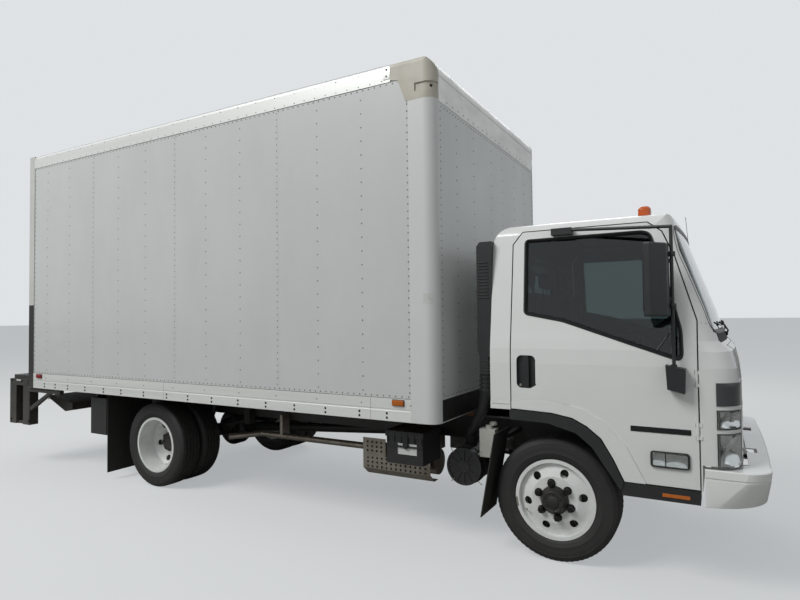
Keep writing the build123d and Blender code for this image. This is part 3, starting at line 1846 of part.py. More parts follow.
# Cab interior: dashboard, seats and steering wheel

wheel_centre = (front_axle_x + 520, 560, 1500)
column_tilt = 38
column_dir = (sin(radians(column_tilt)), 0, -cos(radians(column_tilt)))
boss_length = 60
with BuildPart() as dashboard:
    add(cab_form(cab_wall + 14))
    dash = (
        (front_axle_x + 640, 1120),
        (front_axle_x + 640, 1330),
        (front_axle_x + 720, 1400),
        (front_axle_x + 920, 1430),
        (front_axle_x + 1100, 1430),
        (front_axle_x + 1100, 1120),
    )
    side_prism(dash, -1100, 1100, mode=Mode.INTERSECT)
    block(front_axle_x + 700, front_axle_x + 1020, -240, 240, 1000, 1130)
    column_top = (
        wheel_centre[0] + column_dir[0] * (boss_length + seat_gap),
        wheel_centre[1],
        wheel_centre[2] + column_dir[2] * (boss_length + seat_gap),
    )
    column_foot = (
        wheel_centre[0] + column_dir[0] * 260,
        wheel_centre[1],
        wheel_centre[2] + column_dir[2] * 260,
    )
    rod(column_top, column_foot, 36)
dashboard.part.label = "dashboard"
export_step(dashboard.part, "parts/dashboard.step")

# Columns of the seat table: right edge and left edge
seat_edges = ((-880, 180), (290, 860))
with BuildPart() as seats:
    for y0, y1 in seat_edges:
        block(front_axle_x - 270, front_axle_x + 280, y0, y1, cab_floor, 1290)
        back = (
            (front_axle_x - 270, 1290),
            (front_axle_x - 140, 1290),
            (front_axle_x - 200, 1930),
            (front_axle_x - 290, 1930),
        )
        side_prism(back, y0, y1)
seats.part.label = "seats"
export_step(seats.part, "parts/seats.step")

with BuildPart() as steering_wheel:
    wheel_plane = Plane(origin=wheel_centre, x_dir=(0, 1, 0), z_dir=column_dir)
    with BuildSketch(Plane(origin=wheel_centre, x_dir=(0, 1, 0), z_dir=wheel_plane.y_dir)) as rim_section:
        with Locations((210, 0)):
            Circle(15)
    revolve(rim_section.sketch, axis=Axis(wheel_centre, column_dir))
    with BuildSketch(wheel_plane) as boss:
        Circle(48)
    extrude(boss.sketch, amount=boss_length)
    with BuildSketch(wheel_plane) as spokes:
        with PolarLocations(0, 3, start_angle=90):
            with Locations((105, 0)):
                Rectangle(210, 34)
    extrude(spokes.sketch, amount=14)
steering_wheel.part.label = "steering_wheel"
export_step(steering_wheel.part, "parts/steering_wheel.step")

# Cab fittings: the intake snorkel behind the cab and the lamps on its roof

with BuildPart() as snorkel:
    duct = (
        (snorkel_x - 32, bellows_top + 2),
        (snorkel_x - 32, 1330),
        (snorkel_x - 45, 1380),
        (snorkel_x - 45, 2100),
        (snorkel_x - 20, 2130),
        (cab_rear_x, 2130),
        (cab_rear_x, 1340),
        (snorkel_x + 32, 1330),
        (snorkel_x + 32, bellows_top + 2),
    )
    side_prism(duct, snorkel_y - 45, snorkel_y + 45)
snorkel.part.label = "snorkel"
export_step(snorkel.part, "parts/snorkel.step")

roof_lamp_ys = (-750, -180, 0, 180, 750)
with BuildPart() as roof_lamps:
    for y in roof_lamp_ys:
        block(front_axle_x + 528, front_axle_x + 604, y - 45, y + 45, 2225, 2306)
    fillet(roof_lamps.edges().filter_by(Axis.Z), 30)
    fillet(roof_lamps.edges().group_by(Axis.Z)[-1], 24)
    add(cab_shell.part, mode=Mode.SUBTRACT)
roof_lamps.part.label = "roof_lamps"
export_step(roof_lamps.part, "parts/roof_lamps.step")
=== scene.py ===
"""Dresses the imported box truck: finishes on every solid, and the small pieces that they leave out.

The truck's frame has X forward, Y to its left and Z up, with the ground at zero. Pieces are
drawn in millimetres with X counted from the front axle, as a maker's drawing would be, and are
set down in the scene in metres.
"""

import json
import logging
import math
from collections.abc import Callable
from dataclasses import dataclass, field
from enum import Enum
from functools import cache, partial

import bmesh
import bpy
from mathutils import Matrix, Vector
from mathutils.bvhtree import BVHTree


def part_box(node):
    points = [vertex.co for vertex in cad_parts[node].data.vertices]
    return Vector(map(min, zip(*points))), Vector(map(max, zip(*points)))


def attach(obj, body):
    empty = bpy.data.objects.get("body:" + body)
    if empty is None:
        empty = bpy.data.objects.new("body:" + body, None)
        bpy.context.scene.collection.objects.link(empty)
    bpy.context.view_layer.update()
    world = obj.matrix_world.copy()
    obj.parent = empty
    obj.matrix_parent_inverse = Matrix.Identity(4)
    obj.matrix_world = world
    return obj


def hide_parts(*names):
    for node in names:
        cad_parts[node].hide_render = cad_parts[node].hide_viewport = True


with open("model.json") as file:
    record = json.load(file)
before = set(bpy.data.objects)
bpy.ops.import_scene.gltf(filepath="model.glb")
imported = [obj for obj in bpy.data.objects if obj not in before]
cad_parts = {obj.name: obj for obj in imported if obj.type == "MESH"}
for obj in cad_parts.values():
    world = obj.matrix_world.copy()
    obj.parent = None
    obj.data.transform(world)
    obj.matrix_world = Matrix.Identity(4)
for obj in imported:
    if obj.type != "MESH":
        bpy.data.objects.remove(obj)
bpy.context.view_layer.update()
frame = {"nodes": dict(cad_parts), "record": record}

LOG = logging.getLogger("truck")
MM = 0.001
# A wave texture of scale 1 repeats every 0.314 m.
WAVE_RUN = 0.314

Point = Vector | tuple[float, float, float]
Profile = tuple[tuple[float, float], ...]
Socket = bpy.types.NodeSocket
Adder = Callable[..., Socket | None]


def middle(node: str) -> Vector:
    """The middle of a CAD node's box, in metres."""
    low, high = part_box(node)
    return (low + high) / 2


FRONT_AXLE = middle("front_tyre_right").x
ORIGIN = Vector((FRONT_AXLE, 0.0, 0.0))
REAR_AXLE_MM = (middle("rear_tyres_right").x - FRONT_AXLE) / MM
# The lining shows on faces that look in at this point, above the floor.
CAB_MIDDLE = ORIGIN + Vector((0.3, 0.0, 1.6))
CAB_FLOOR = 1.04
SKY_COLOUR = "e9edf0"


def linear(colour: str) -> tuple[float, float, float, float]:
    """Turns an sRGB colour into the linear one that a shader socket takes.

    Args:
        colour: six hexadecimal digits.

    Returns:
        Red, green, blue and an opacity of 1.
    """
    parts = [int(colour[i : i + 2], 16) / 255 for i in (0, 2, 4)]
    low_end = 0.04045
    red, green, blue = (c / 12.92 if c <= low_end else ((c + 0.055) / 1.055) ** 2.4 for c in parts)
    return red, green, blue, 1.0


def add_node(tree: bpy.types.NodeTree, kind: str, out: int | str = 0, **given) -> Socket | None:
    """Adds one shader node with its settings and what feeds it.

    Args:
        tree: the material's or world's node tree.
        kind: the node's Blender type, without its leading "ShaderNode".
        out: the output that is wanted.
        given: the node's own properties, in lower case, and a value or an output for each input,
            by name with underscores or by number as in i0.

    Returns:
        The wanted output, or nothing from a node without any.
    """
    node = tree.nodes.new("ShaderNode" + kind)
    for name, value in given.items():
        numbered = name[0] == "i" and name[1:].isdigit()
        if name[0].islower() and not numbered:
            setattr(node, name, value)
            continue
        socket = node.inputs[int(name[1:]) if numbered else name.replace("_", " ")]
        if isinstance(value, Socket):
            tree.links.new(value, socket)
        else:
            socket.default_value = value
    return node.outputs[out] if node.outputs else None


def per_metre(size_mm: float) -> float:
    """The scale at which a texture repeats after a real size."""
    return 1 / (size_mm * MM)


@dataclass(frozen=True)
class Finish:
    """A surface as its maker would name it, with the marks that a few years on the road leave.

    Patterns are worked out in millimetres on the object itself, so they hold their size on
    every piece. A dust share above zero greys what lies below dust_top, and a worn share above
    zero bares the colour under the paint along edges.
    """

    name: str
    colour: str
    tint: str
    tint_mm: float = 400.0
    tint_share: float = 0.5
    roughness: float = 0.5
    rough_spread: float = 0.1
    metallic: float = 0.0
    grain_mm: float = 1.0
    grain_height_mm: float = 0.1
    stretch: tuple[float, float, float] = (1.0, 1.0, 1.0)
    coat: float = 0.0
    edge_mm: float = 0.0
    worn: str = ""
    worn_share: float = 0.0
    dust: float = 0.0
    dust_colour: str = "857f75"
    dust_top: float = 1.2
    lining: str = ""

    def shade(self, add: Adder, place: Socket) -> Socket:
        """Builds the surface's shader.

        Args:
            add: adds a node to the material.
            place: the point on the object, in metres.

        Returns:
            The shader's output.
        """
        shaped = add("Mapping", Vector=place, Scale=self.stretch)
        broad = add(
            "TexNoise", Vector=shaped, Scale=per_metre(self.tint_mm), Detail=4.0, Roughness=0.6
        )
        share = add("MapRange", Value=broad, From_Min=0.35, From_Max=0.7, To_Max=self.tint_share)
        colour = linear(self.colour)
        for cover, over in ((share, self.tint), *self.marks(add, place)):
            colour = add("Mix", 2, data_type="RGBA", i0=cover, i6=colour, i7=linear(over))
        low = self.roughness - self.rough_spread / 2
        high = low + self.rough_spread
        rough = add("MapRange", Value=broad, From_Min=0.3, From_Max=0.7, To_Min=low, To_Max=high)
        fine = add(
            "TexNoise", Vector=shaped, Scale=per_metre(self.grain_mm), Detail=3.0, Roughness=0.5
        )
        base = {"Normal": add("Bevel", samples=4, Radius=self.edge_mm * MM)} if self.edge_mm else {}
        return add(
            "BsdfPrincipled",
            Base_Color=colour,
            Roughness=rough,
            Metallic=self.metallic,
            Normal=add(
                "Bump", Height=fine, Distance=self.grain_height_mm * MM, Strength=0.6, **base
            ),
            Coat_Weight=self.coat,
            Coat_Roughness=0.08,
        )

    def marks(self, add: Adder, place: Socket) -> list[tuple[Socket, str]]:
        """Works out where chipped edges, road dust and the cab's lining cover the paint.

        Args:
            add: adds a node to the material.
            place: the point on the object, in metres.

        Returns:
            The share that each of them covers, with its colour, in order.
        """
        found = []
        if self.worn_share:
            soft = add("Bevel", samples=4, Radius=4 * MM)
            sharp = add("NewGeometry", "True Normal")
            along = add("VectorMath", 1, operation="DOT_PRODUCT", i0=soft, i1=sharp)
            edge = add("MapRange", Value=along, From_Min=0.985, From_Max=0.9)
            spots = add("TexNoise", Vector=place, Scale=per_metre(14), Detail=5.0, Roughness=0.7)
            chips = add(
                "MapRange", Value=spots, From_Min=0.48, From_Max=0.62, To_Max=self.worn_share
            )
            found.append((edge, chips, self.worn))
        if self.dust:
            height = add("SeparateXYZ", 2, Vector=place)
            fall = add(
                "MapRange", Value=height, From_Min=self.dust_top, From_Max=0.0, To_Max=self.dust
            )
            cloud = add("TexNoise", Vector=place, Scale=per_metre(110), Detail=6.0, Roughness=0.65)
            found.append((fall, cloud, self.dust_colour))
        if self.lining:
            facing = add(
                "VectorTransform", vector_type="NORMAL", convert_from="WORLD",
                convert_to="OBJECT", Vector=add("NewGeometry", "True Normal"),
            )
            away = add("VectorMath", operation="SUBTRACT", i0=place, i1=tuple(CAB_MIDDLE))
            outward = add("VectorMath", 1, operation="DOT_PRODUCT", i0=facing, i1=away)
            inside = add("Math", operation="LESS_THAN", i0=outward, i1=0.0)
            height = add("SeparateXYZ", 2, Vector=place)
            above = add("Math", operation="GREATER_THAN", i0=height, i1=CAB_FLOOR)
            found.append((inside, above, self.lining))
        return [
            (add("Math", operation="MULTIPLY", use_clamp=True, i0=one, i1=other), colour)
            for one, other, colour in found
        ]


@dataclass(frozen=True)
class Glazing:
    """Glass or clear acrylic, tinted or bare, with faint wipe marks and, on lamps, fine ribs.

    Where rear_colour is given, the surface has it behind split_m along X, so that one moulding
    can be amber at the front of the truck and red at the back.
    """

    name: str
    colour: str
    roughness: float = 0.02
    film: float = 0.05
    transmission: float = 1.0
    ior: float = 1.5
    rib_mm: float = 0.0
    rear_colour: str = ""
    split_m: float = 0.0

    def shade(self, add: Adder, place: Socket) -> Socket:
        """Builds the glass's shader.

        Args:
            add: adds a node to the material.
            place: the point on the object, in metres.

        Returns:
            The shader's output.
        """
        rough, colour, ribbed = self.roughness, linear(self.colour), {}
        if self.film:
            wiped = add("TexNoise", Vector=place, Scale=per_metre(140), Detail=4.0, Roughness=0.5)
            rough = add(
                "MapRange", Value=wiped, From_Min=0.4, From_Max=0.8, To_Min=rough,
                To_Max=rough + self.film,
            )
        if self.rear_colour:
            along = add("SeparateXYZ", Vector=place)
            rear = add("Math", operation="LESS_THAN", i0=along, i1=self.split_m)
            colour = add(
                "Mix", 2, data_type="RGBA", i0=rear, i6=colour, i7=linear(self.rear_colour)
            )
        if self.rib_mm:
            scale = WAVE_RUN * per_metre(self.rib_mm)
            ribs = add("TexWave", 1, bands_direction="Y", Vector=place, Scale=scale)
            ribbed["Normal"] = add("Bump", Height=ribs, Distance=0.6 * MM, Strength=0.5)
        return add(
            "BsdfPrincipled",
            Base_Color=colour,
            Roughness=rough,
            IOR=self.ior,
            Transmission_Weight=self.transmission,
            **ribbed,
        )


@dataclass(frozen=True)
class Planks:
    """Narrow hardwood boards laid along the floor, oiled and worn by trolleys."""

    name: str = "laminated_hardwood_boards"
    board_mm: float = 34.0
    length_mm: float = 900.0
    colour: str = "8a5f3a"
    tint: str = "5f3f25"
    gap: str = "2b1f15"

    def shade(self, add: Adder, place: Socket) -> Socket:
        """Builds the boards' shader.

        Args:
            add: adds a node to the material.
            place: the point on the object, in metres.

        Returns:
            The shader's output.
        """
        boards = add(
            "TexBrick",
            offset=0.37,
            Vector=place,
            Color1=linear(self.colour),
            Color2=linear(self.tint),
            Mortar=linear(self.gap),
            Scale=1.0,
            Mortar_Size=0.8 * MM,
            Brick_Width=self.length_mm * MM,
            Row_Height=self.board_mm * MM,
        )
        lengthways = add("Mapping", Vector=place, Scale=(0.06, 1.0, 1.0))
        grain = add("TexNoise", Vector=lengthways, Scale=per_metre(5), Detail=6.0, Roughness=0.7)
        share = add("MapRange", Value=grain, From_Min=0.4, From_Max=0.75, To_Max=0.6)
        trodden = add("TexNoise", Vector=place, Scale=per_metre(600), Detail=3.0, Roughness=0.5)
        return add(
            "BsdfPrincipled",
            Base_Color=add("Mix", 2, data_type="RGBA", i0=share, i6=boards, i7=linear(self.tint)),
            Roughness=add(
                "MapRange", Value=trodden, From_Min=0.3, From_Max=0.7, To_Min=0.45, To_Max=0.75
            ),
            Normal=add("Bump", Height=grain, Distance=0.3 * MM, Strength=0.5),
        )


@dataclass(frozen=True)
class Weave:
    """Woven cloth: two crossed sets of threads with a soft sheen.

    The threads of the real one are 0.8 mm apart, which is too fine to show, so they are drawn
    at thread_mm.
    """

    name: str
    colour: str
    tint: str
    thread_mm: float = 4.0
    sheen: float = 0.3

    def shade(self, add: Adder, place: Socket) -> Socket:
        """Builds the cloth's shader.

        Args:
            add: adds a node to the material.
            place: the point on the object, in metres.

        Returns:
            The shader's output.
        """
        wave = partial(
            add, "TexWave", 1, Vector=place, Scale=WAVE_RUN * per_metre(self.thread_mm),
            Distortion=0.6,
        )
        across, over = wave(bands_direction="Y"), wave(bands_direction="DIAGONAL")
        weave = add("Math", operation="MAXIMUM", i0=across, i1=over)
        fleck = add("TexNoise", Vector=place, Scale=per_metre(30), Detail=5.0, Roughness=0.5)
        share = add("Math", operation="MULTIPLY", use_clamp=True, i0=weave, i1=fleck)
        low, high = linear(self.colour), linear(self.tint)
        return add(
            "BsdfPrincipled",
            Base_Color=add("Mix", 2, data_type="RGBA", i0=share, i6=low, i7=high),
            Roughness=0.85,
            Normal=add("Bump", Height=weave, Distance=0.5 * MM, Strength=0.6),
            Sheen_Weight=self.sheen,
            Sheen_Roughness=0.4,
        )


@dataclass(frozen=True)
class StudioFloor:
    """A pale, faintly cloudy floor, diffuse to the truck and as bright as the sky to the eye."""

    name: str = "pale_studio_floor"
    colour: str = "a2a29f"
    tint: str = "989895"
    glow: float = 0.48

    def shade(self, add: Adder, place: Socket) -> Socket:
        """Builds the floor's shader.

        Args:
            add: adds a node to the material.
            place: the point on the floor, in metres.

        Returns:
            The shader's output.
        """
        cloud = add("TexNoise", Vector=place, Scale=per_metre(3000), Detail=3.0, Roughness=0.5)
        share = add("MapRange", Value=cloud, From_Min=0.3, From_Max=0.7, To_Max=0.2)
        low, high = linear(self.colour), linear(self.tint)
        colour = add("Mix", 2, data_type="RGBA", i0=share, i6=low, i7=high)
        seen = add("LightPath", "Is Camera Ray")
        glow = add("Math", operation="MULTIPLY", use_clamp=True, i0=seen, i1=self.glow)
        bright = add("Emission", Color=linear(SKY_COLOUR), Strength=glow)
        return add("AddShader", i0=add("BsdfDiffuse", Color=colour), i1=bright)


Dress = Finish | Glazing | Planks | Weave | StudioFloor


def surface(finish: Dress) -> bpy.types.Material:
    """The material of a finish, built when it is first asked for.

    Args:
        finish: what the surface is.

    Returns:
        Its material.
    """
    made = bpy.data.materials.get(finish.name)
    if made is None:
        made = bpy.data.materials.new(finish.name)
        made.use_nodes = True
        made.node_tree.nodes.clear()
        add = partial(add_node, made.node_tree)
        add("OutputMaterial", Surface=finish.shade(add, add("TexCoord", "Object")))
    return made


# Two-pack acrylic on pressed steel: an off-white with a wet-looking clear layer.
CAB_PAINT = Finish(
    "acrylic_cab_paint", "e6e8e5", "dddfdc", 700, 0.6, 0.34, 0.08, grain_mm=3,
    grain_height_mm=0.02, coat=0.5, edge_mm=3, dust=0.2, lining="4a4b4d",
)
# Brushed-on chassis enamel: satin black that shows dust and old spray.
CHASSIS_ENAMEL = Finish(
    "satin_chassis_enamel", "101010", "191817", 120, 0.8, 0.5, 0.2, grain_mm=2.5,
    grain_height_mm=0.08, edge_mm=1.5, dust=0.16,
)
# Sand-cast iron under thin black paint: a coarse grain and a dry, uneven gloss.
CAST_IRON = Finish(
    "painted_cast_iron", "121212", "201c19", 60, 0.8, 0.55, 0.2, grain_mm=3,
    grain_height_mm=0.4, edge_mm=2.5, dust=0.14,
)
# Die-cast engine housing with a film of old oil: dull grey with dark wet patches.
OILY_CASTING = Finish(
    "oily_die_cast_aluminium", "5b5b59", "2c2a27", 90, 0.9, 0.42, 0.3, 0.5, grain_mm=2,
    grain_height_mm=0.3, edge_mm=3, dust=0.25,
)
# Aluminised exhaust sheet, browned by heat: a warm dull grey.
EXHAUST_SHEET = Finish(
    "aluminised_exhaust_steel", "a09a90", "6f6458", 140, 0.8, 0.42, 0.2, 0.75, grain_mm=2,
    grain_height_mm=0.05, edge_mm=1.0, dust=0.2,
)
# Injection-moulded polypropylene with a fine leather grain: a soft black without clear shine.
GRAINED_PLASTIC = Finish(
    "grained_polypropylene", "1a1b1c", "212223", 180, 0.6, 0.45, grain_mm=1.6,
    grain_height_mm=0.12, edge_mm=1.5, dust=0.1,
)
# Sun-bleached cowl moulding: unpainted black that has lost its gloss.
COWL_PLASTIC = Finish(
    "weathered_cowl_polypropylene", "0b0b0c", "121212", 180, 0.6, 0.8, grain_mm=1.6,
    grain_height_mm=0.05, edge_mm=1.5, dust=0.05,
)
# Blow-moulded polyethylene: milky, slightly waxy.
MILKY_PLASTIC = Finish(
    "blow_moulded_polyethylene", "cfd0c8", "b9b9ae", 90, 0.6, 0.42, grain_mm=8,
    grain_height_mm=0.3, edge_mm=5, dust=0.3,
)
# Calendered rubber sheet: matt black with splash marks.
FLAP_RUBBER = Finish(
    "calendered_rubber_sheet", "0f0f10", "171615", 90, 0.8, 0.72, 0.15, grain_mm=2,
    grain_height_mm=0.12, dust=0.18,
)
# Acrylic on the bumper's pressed steel, nearer the road than the cab: white with grit on top.
BUMPER_PAINT = Finish(
    "acrylic_bumper_paint", "eff1ee", "e7e9e6", 400, 0.7, 0.34, 0.06, grain_mm=3,
    grain_height_mm=0.02, coat=0.5, edge_mm=4, dust=0.2, dust_top=0.8,
)
# Prepainted aluminium sheet: a cool white semi-gloss that has dulled and picked up scuffs.
SHEET_PAINT = Finish(
    "prepainted_aluminium_sheet", "ced1cf", "c4c7c5", 500, 0.6, 0.34, 0.12, grain_mm=5,
    grain_height_mm=0.02, stretch=(1.0, 1.0, 0.5), coat=0.25, dust=0.15,
)
# Extruded aluminium with its mill finish: bright, with lengthways streaks and a faint bloom.
MILL_ALUMINIUM = Finish(
    "mill_finish_extruded_aluminium", "ecede9", "d6d8d5", 150, 0.8, 0.4, 0.14, 0.25, grain_mm=2,
    grain_height_mm=0.04, stretch=(0.04, 0.5, 1.0), edge_mm=1.5, dust=0.1,
)
# The corner posts are extruded too, but painted with the sheets: a smooth, even semi-gloss.
POST_PAINT = Finish(
    "painted_aluminium_extrusion", "d8dad8", "cfd1cf", 700, 0.5, 0.34, 0.08, grain_mm=5,
    grain_height_mm=0.01, coat=0.3, edge_mm=2, dust=0.1,
)
# Cast aluminium corner under cream paint: a pebbled surface that holds grey dirt.
CREAM_CASTING = Finish(
    "painted_cast_aluminium", "c6c1b4", "b1ab9d", 170, 0.7, 0.5, 0.12, grain_mm=5,
    grain_height_mm=0.12, edge_mm=4,
)
# Enamel on the welded rear frame: white, chipped to rust at its edges.
FRAME_ENAMEL = Finish(
    "chipped_frame_enamel", "cfd0cc", "bfc0bb", 300, 0.6, 0.42, grain_mm=3,
    grain_height_mm=0.03, edge_mm=2, worn="6b4a35", worn_share=0.7, dust=0.4,
)
# Painted plywood door sections: an even white with a slight orange peel.
DOOR_LAMINATE = Finish(
    "painted_door_laminate", "cfd1cd", "c2c5c0", 350, 0.7, 0.4, grain_mm=4,
    grain_height_mm=0.05, dust=0.4,
)
# Powder coat on the lift gate: black, with bright steel where feet and freight rub.
GATE_ENAMEL = Finish(
    "worn_gate_powder_coat", "17181a", "25231f", 110, 0.8, 0.5, 0.2, grain_mm=2, edge_mm=1.5,
    worn="77736c", worn_share=0.9, dust=0.6,
)
# Moulded dash skin: dark grey with a dry grain that throws no glare.
DASH_PLASTIC = Finish(
    "moulded_dash_plastic", "303133", "38393b", 200, 0.5, 0.62, grain_mm=1.8,
    grain_height_mm=0.15, edge_mm=4,
)
# Baked enamel on the wheels: bright white, with brake dust in the bowl.
WHEEL_ENAMEL = Finish(
    "baked_wheel_enamel", "e8eae8", "d6d6d2", 110, 0.6, 0.34, 0.12, grain_mm=2,
    grain_height_mm=0.03, coat=0.3, edge_mm=1.5, dust=0.1, dust_colour="77706a",
)
# Vulcanised tyre tread rubber: charcoal, greyed by dust in its grooves.
TYRE_RUBBER = Finish(
    "vulcanised_tyre_rubber", "131315", "1b1b1b", 50, 0.8, 0.66, 0.12, grain_mm=2.2,
    grain_height_mm=0.12, dust=0.12,
)
# Extruded door and window seal: dense black rubber with a soft shine.
SEAL_RUBBER = Finish(
    "extruded_seal_rubber", "101112", "1a1a1a", 60, 0.6, 0.48, grain_mm=1.5, grain_height_mm=0.05
)
# Vacuum-metallised reflector: a near mirror.
REFLECTOR = Finish(
    "metallised_reflector", "e6e8ea", "dfe1e3", 50, 0.5, 0.1, 0.05, 1.0, 12, 0.2
)
# Zinc-plated fasteners: pale grey with a yellow cast.
ZINC_PLATE = Finish("zinc_plated_steel", "a8a69c", "8c877a", 12, 0.7, 0.35, 0.15, 0.9, 1, 0.04)
# Hardened fasteners with a phosphate skin: nearly black, slightly oily.
BLACK_FASTENER = Finish(
    "phosphated_steel_fastener", "1b1b1c", "2e2b28", 10, 0.7, 0.42, 0.15, 0.6, 1, 0.05
)
# Aluminium pop rivets painted with the sheet; their dark grey is painted shade round each head.
SHADED_RIVET = Finish(
    "rivet_with_painted_shade", "777a79", "626564", 6, 0.7, 0.4, 0.1, 0.2, 1, 0.03
)
# Vinyl film, weathered: a flat white.
LABEL_FILM = Finish("weathered_vinyl_film", "d6d7d4", "bdbeba", 20, 0.7, 0.45, 0.1, 0.0, 3, 0.02)
# Painted shade in the gaps, seams and slots between panels: a flat near black.
GAP_SHADE = Finish("panel_gap_shadow", "1c1c1c", "26241f", 15, 0.7, 0.85, 0.1, 0.0, 1, 0.05)
# Pressed headlining felt: a pale warm grey.
HEADLINER = Finish("pressed_headliner_felt", "a8a49b", "9a968d", 60, 0.6, 0.9, 0.05, 0.0, 1.5, 0.3)
# Nylon belt webbing: black with a slight gloss.
WEBBING = Weave("nylon_belt_webbing", "151516", "28282a", 3.0, 0.1)
# Flat-woven polyester on the seats: dark grey with a paler fleck.
SEAT_CLOTH = Weave("flat_woven_polyester", "33363a", "4d5157")
# Silvered glass behind its clear face: a mirror.
SILVERED_GLASS = Finish(
    "silvered_glass", "dfe3e4", "d8dcdd", 300, 0.4, 0.03, 0.02, 1.0, 200, 0.0
)
# Tempered side and front glass with a green-grey body tint: smooth, and dark from outside.
TINTED_GLASS = Glazing("tinted_tempered_glass", "7b8989", 0.0, 0.0)
# Injection-moulded polycarbonate: clear, with a slight haze from the road.
CLEAR_LENS = Glazing("clear_polycarbonate", "e4e6e4", 0.04, 0.08, ior=1.58)
# Smoked polycarbonate in front of the lamp housing: dark grey with a hard shine.
SMOKED_CAP = Finish(
    "smoked_polycarbonate", "404244", "3a3c3e", 150, 0.5, 0.22, 0.06, grain_mm=6,
    grain_height_mm=0.02, coat=0.8, edge_mm=2,
)
# Moulded acrylic lenses: deep amber at the front and sides, deep red at the tail.
MARKER_LENS = Glazing(
    "moulded_marker_acrylic", "d9741c", 0.12, 0.1, 0.35, 1.49, 4.0, "a41414", FRONT_AXLE - 5.2
)
# The same acrylic in amber alone, for the roof.
AMBER_LENS = Glazing("moulded_amber_acrylic", "e0641a", 0.1, 0.1, 0.35, 1.49, 4.0)
# A prismatic reflector: amber with a bright grid inside.
STEP_REFLECTOR = Finish(
    "prismatic_amber_reflector", "c9690f", "a8520a", 8, 0.8, 0.2, grain_mm=3,
    grain_height_mm=0.3, coat=0.8,
)
# Gauge and screen faces: a black that reflects the windows.
GAUGE_FACE = Finish("printed_gauge_face", "101214", "191c1f", 40, 0.5, 0.15, 0.05, 0.0, 10, 0.02)

SLOT_FINISHES = {
    "chassis_black": CHASSIS_ENAMEL,
    "cast_black": CAST_IRON,
    "engine_grey": OILY_CASTING,
    "exhaust_steel": EXHAUST_SHEET,
    "black_plastic": GRAINED_PLASTIC,
    "tank_plastic": MILKY_PLASTIC,
    "flap_rubber": FLAP_RUBBER,
    "bumper_white": BUMPER_PAINT,
    "floor_wood": Planks(),
    "body_skin": SHEET_PAINT,
    "rail_aluminium": MILL_ALUMINIUM,
    "casting_cream": CREAM_CASTING,
    "frame_paint": FRAME_ENAMEL,
    "door_panel": DOOR_LAMINATE,
    "lamp_amber": MARKER_LENS,
    "gate_black": GATE_ENAMEL,
    "cab_white": CAB_PAINT,
    "lamp_clear": CLEAR_LENS,
    "cap_grey": SMOKED_CAP,
    "dash_plastic": DASH_PLASTIC,
    "seat_cloth": SEAT_CLOTH,
    "wheel_white": WHEEL_ENAMEL,
    "tyre": TYRE_RUBBER,
    "glass": TINTED_GLASS,
}
# Nodes whose finish isn't their slot's.
NODE_FINISHES = {"roof_lamps": AMBER_LENS, "corner_posts": POST_PAINT}


class Side(Enum):
    """A side of the truck, by the way that looks straight at it."""

    RIGHT = (0, 1, 0)
    LEFT = (0, -1, 0)
    FRONT = (-1, 0, 0)
    REAR = (1, 0, 0)
    TOP = (0, 0, -1)


@dataclass(frozen=True)
class Hand:
    """One of the truck's two long sides, with what differs between them."""

    word: str
    sign: int
    side: Side

    @property
    def out(self) -> Vector:
        """The way out from the truck."""
        return Vector((0, self.sign, 0))

    def at(self, x: float, y: float, z: float) -> Vector:
        """A point by its distance from the truck's middle plane."""
        return Vector((x, self.sign * y, z))

    def named(self, stem: str) -> str:
        """A name that ends with this side's word."""
        return f"{stem}_{self.word}"


HANDS = (Hand("right", -1, Side.RIGHT), Hand("left", 1, Side.LEFT))


def between(one: float, other: float, count: int) -> list[float]:
    """Evenly spaced values from one to the other, both included."""
    return [one + (other - one) * i / (count - 1) for i in range(count)]


def stepped(first: float, pitch: float, count: int) -> list[float]:
    """Values that go up from the first by a pitch."""
    return [first + pitch * i for i in range(count)]


def spoke(degrees: float) -> Vector:
    """The way out from an axle at an angle counted from X towards Z."""
    return Vector((math.cos(math.radians(degrees)), 0, math.sin(math.radians(degrees))))


def along_line(points: list, step: float, closed: bool = False) -> list[Vector]:
    """Divides the runs between points so that none is longer than a step.

    Args:
        points: two- or three-part points in order.
        step: the longest run wanted.
        closed: whether the last point runs back to the first.

    Returns:
        The points with the new ones between them.
    """
    made = []
    for one, other in zip(points, points[1:] + (points[:1] if closed else [])):
        one, other = Vector(one), Vector(other)
        count = max(1, math.ceil((other - one).length / step))
        made += [one.lerp(other, i / count) for i in range(count)]
    return made if closed else made + [Vector(points[-1])]


def rounded(points: list, radius: float, steps: int = 4) -> list[Vector]:
    """Rounds the corners of a closed outline.

    Args:
        points: the outline's corners.
        radius: how far along each edge a rounding starts, where the edge is long enough.
        steps: how many runs make up a rounding.

    Returns:
        The rounded outline.
    """
    made = []
    for i in range(len(points)):
        before, corner, after = (Vector(points[(i + d) % len(points)]) for d in (-1, 0, 1))
        start, end = (
            corner.lerp(far, min(0.45, radius / max((far - corner).length, 1e-6)))
            for far in (before, after)
        )
        for share in between(0, 1, steps + 1):
            made.append(start.lerp(corner, share).lerp(corner.lerp(end, share), share))
    return made


def oblong(x0: float, x1: float, z0: float, z1: float, radius: float, steps: int = 4) -> list:
    """A rounded oblong between two corners."""
    return rounded([(x0, z0), (x1, z0), (x1, z1), (x0, z1)], radius, steps)


def across_frame(way: Vector) -> tuple[Vector, Vector]:
    """Finds two directions square to a given one and to each other.

    Args:
        way: the given direction.

    Returns:
        Both directions, each one long.
    """
    helper = Vector((0, 0, 1)) if abs(way.normalized().z) < 0.9 else Vector((1, 0, 0))
    one = way.cross(helper).normalized()
    return one, way.normalized().cross(one)


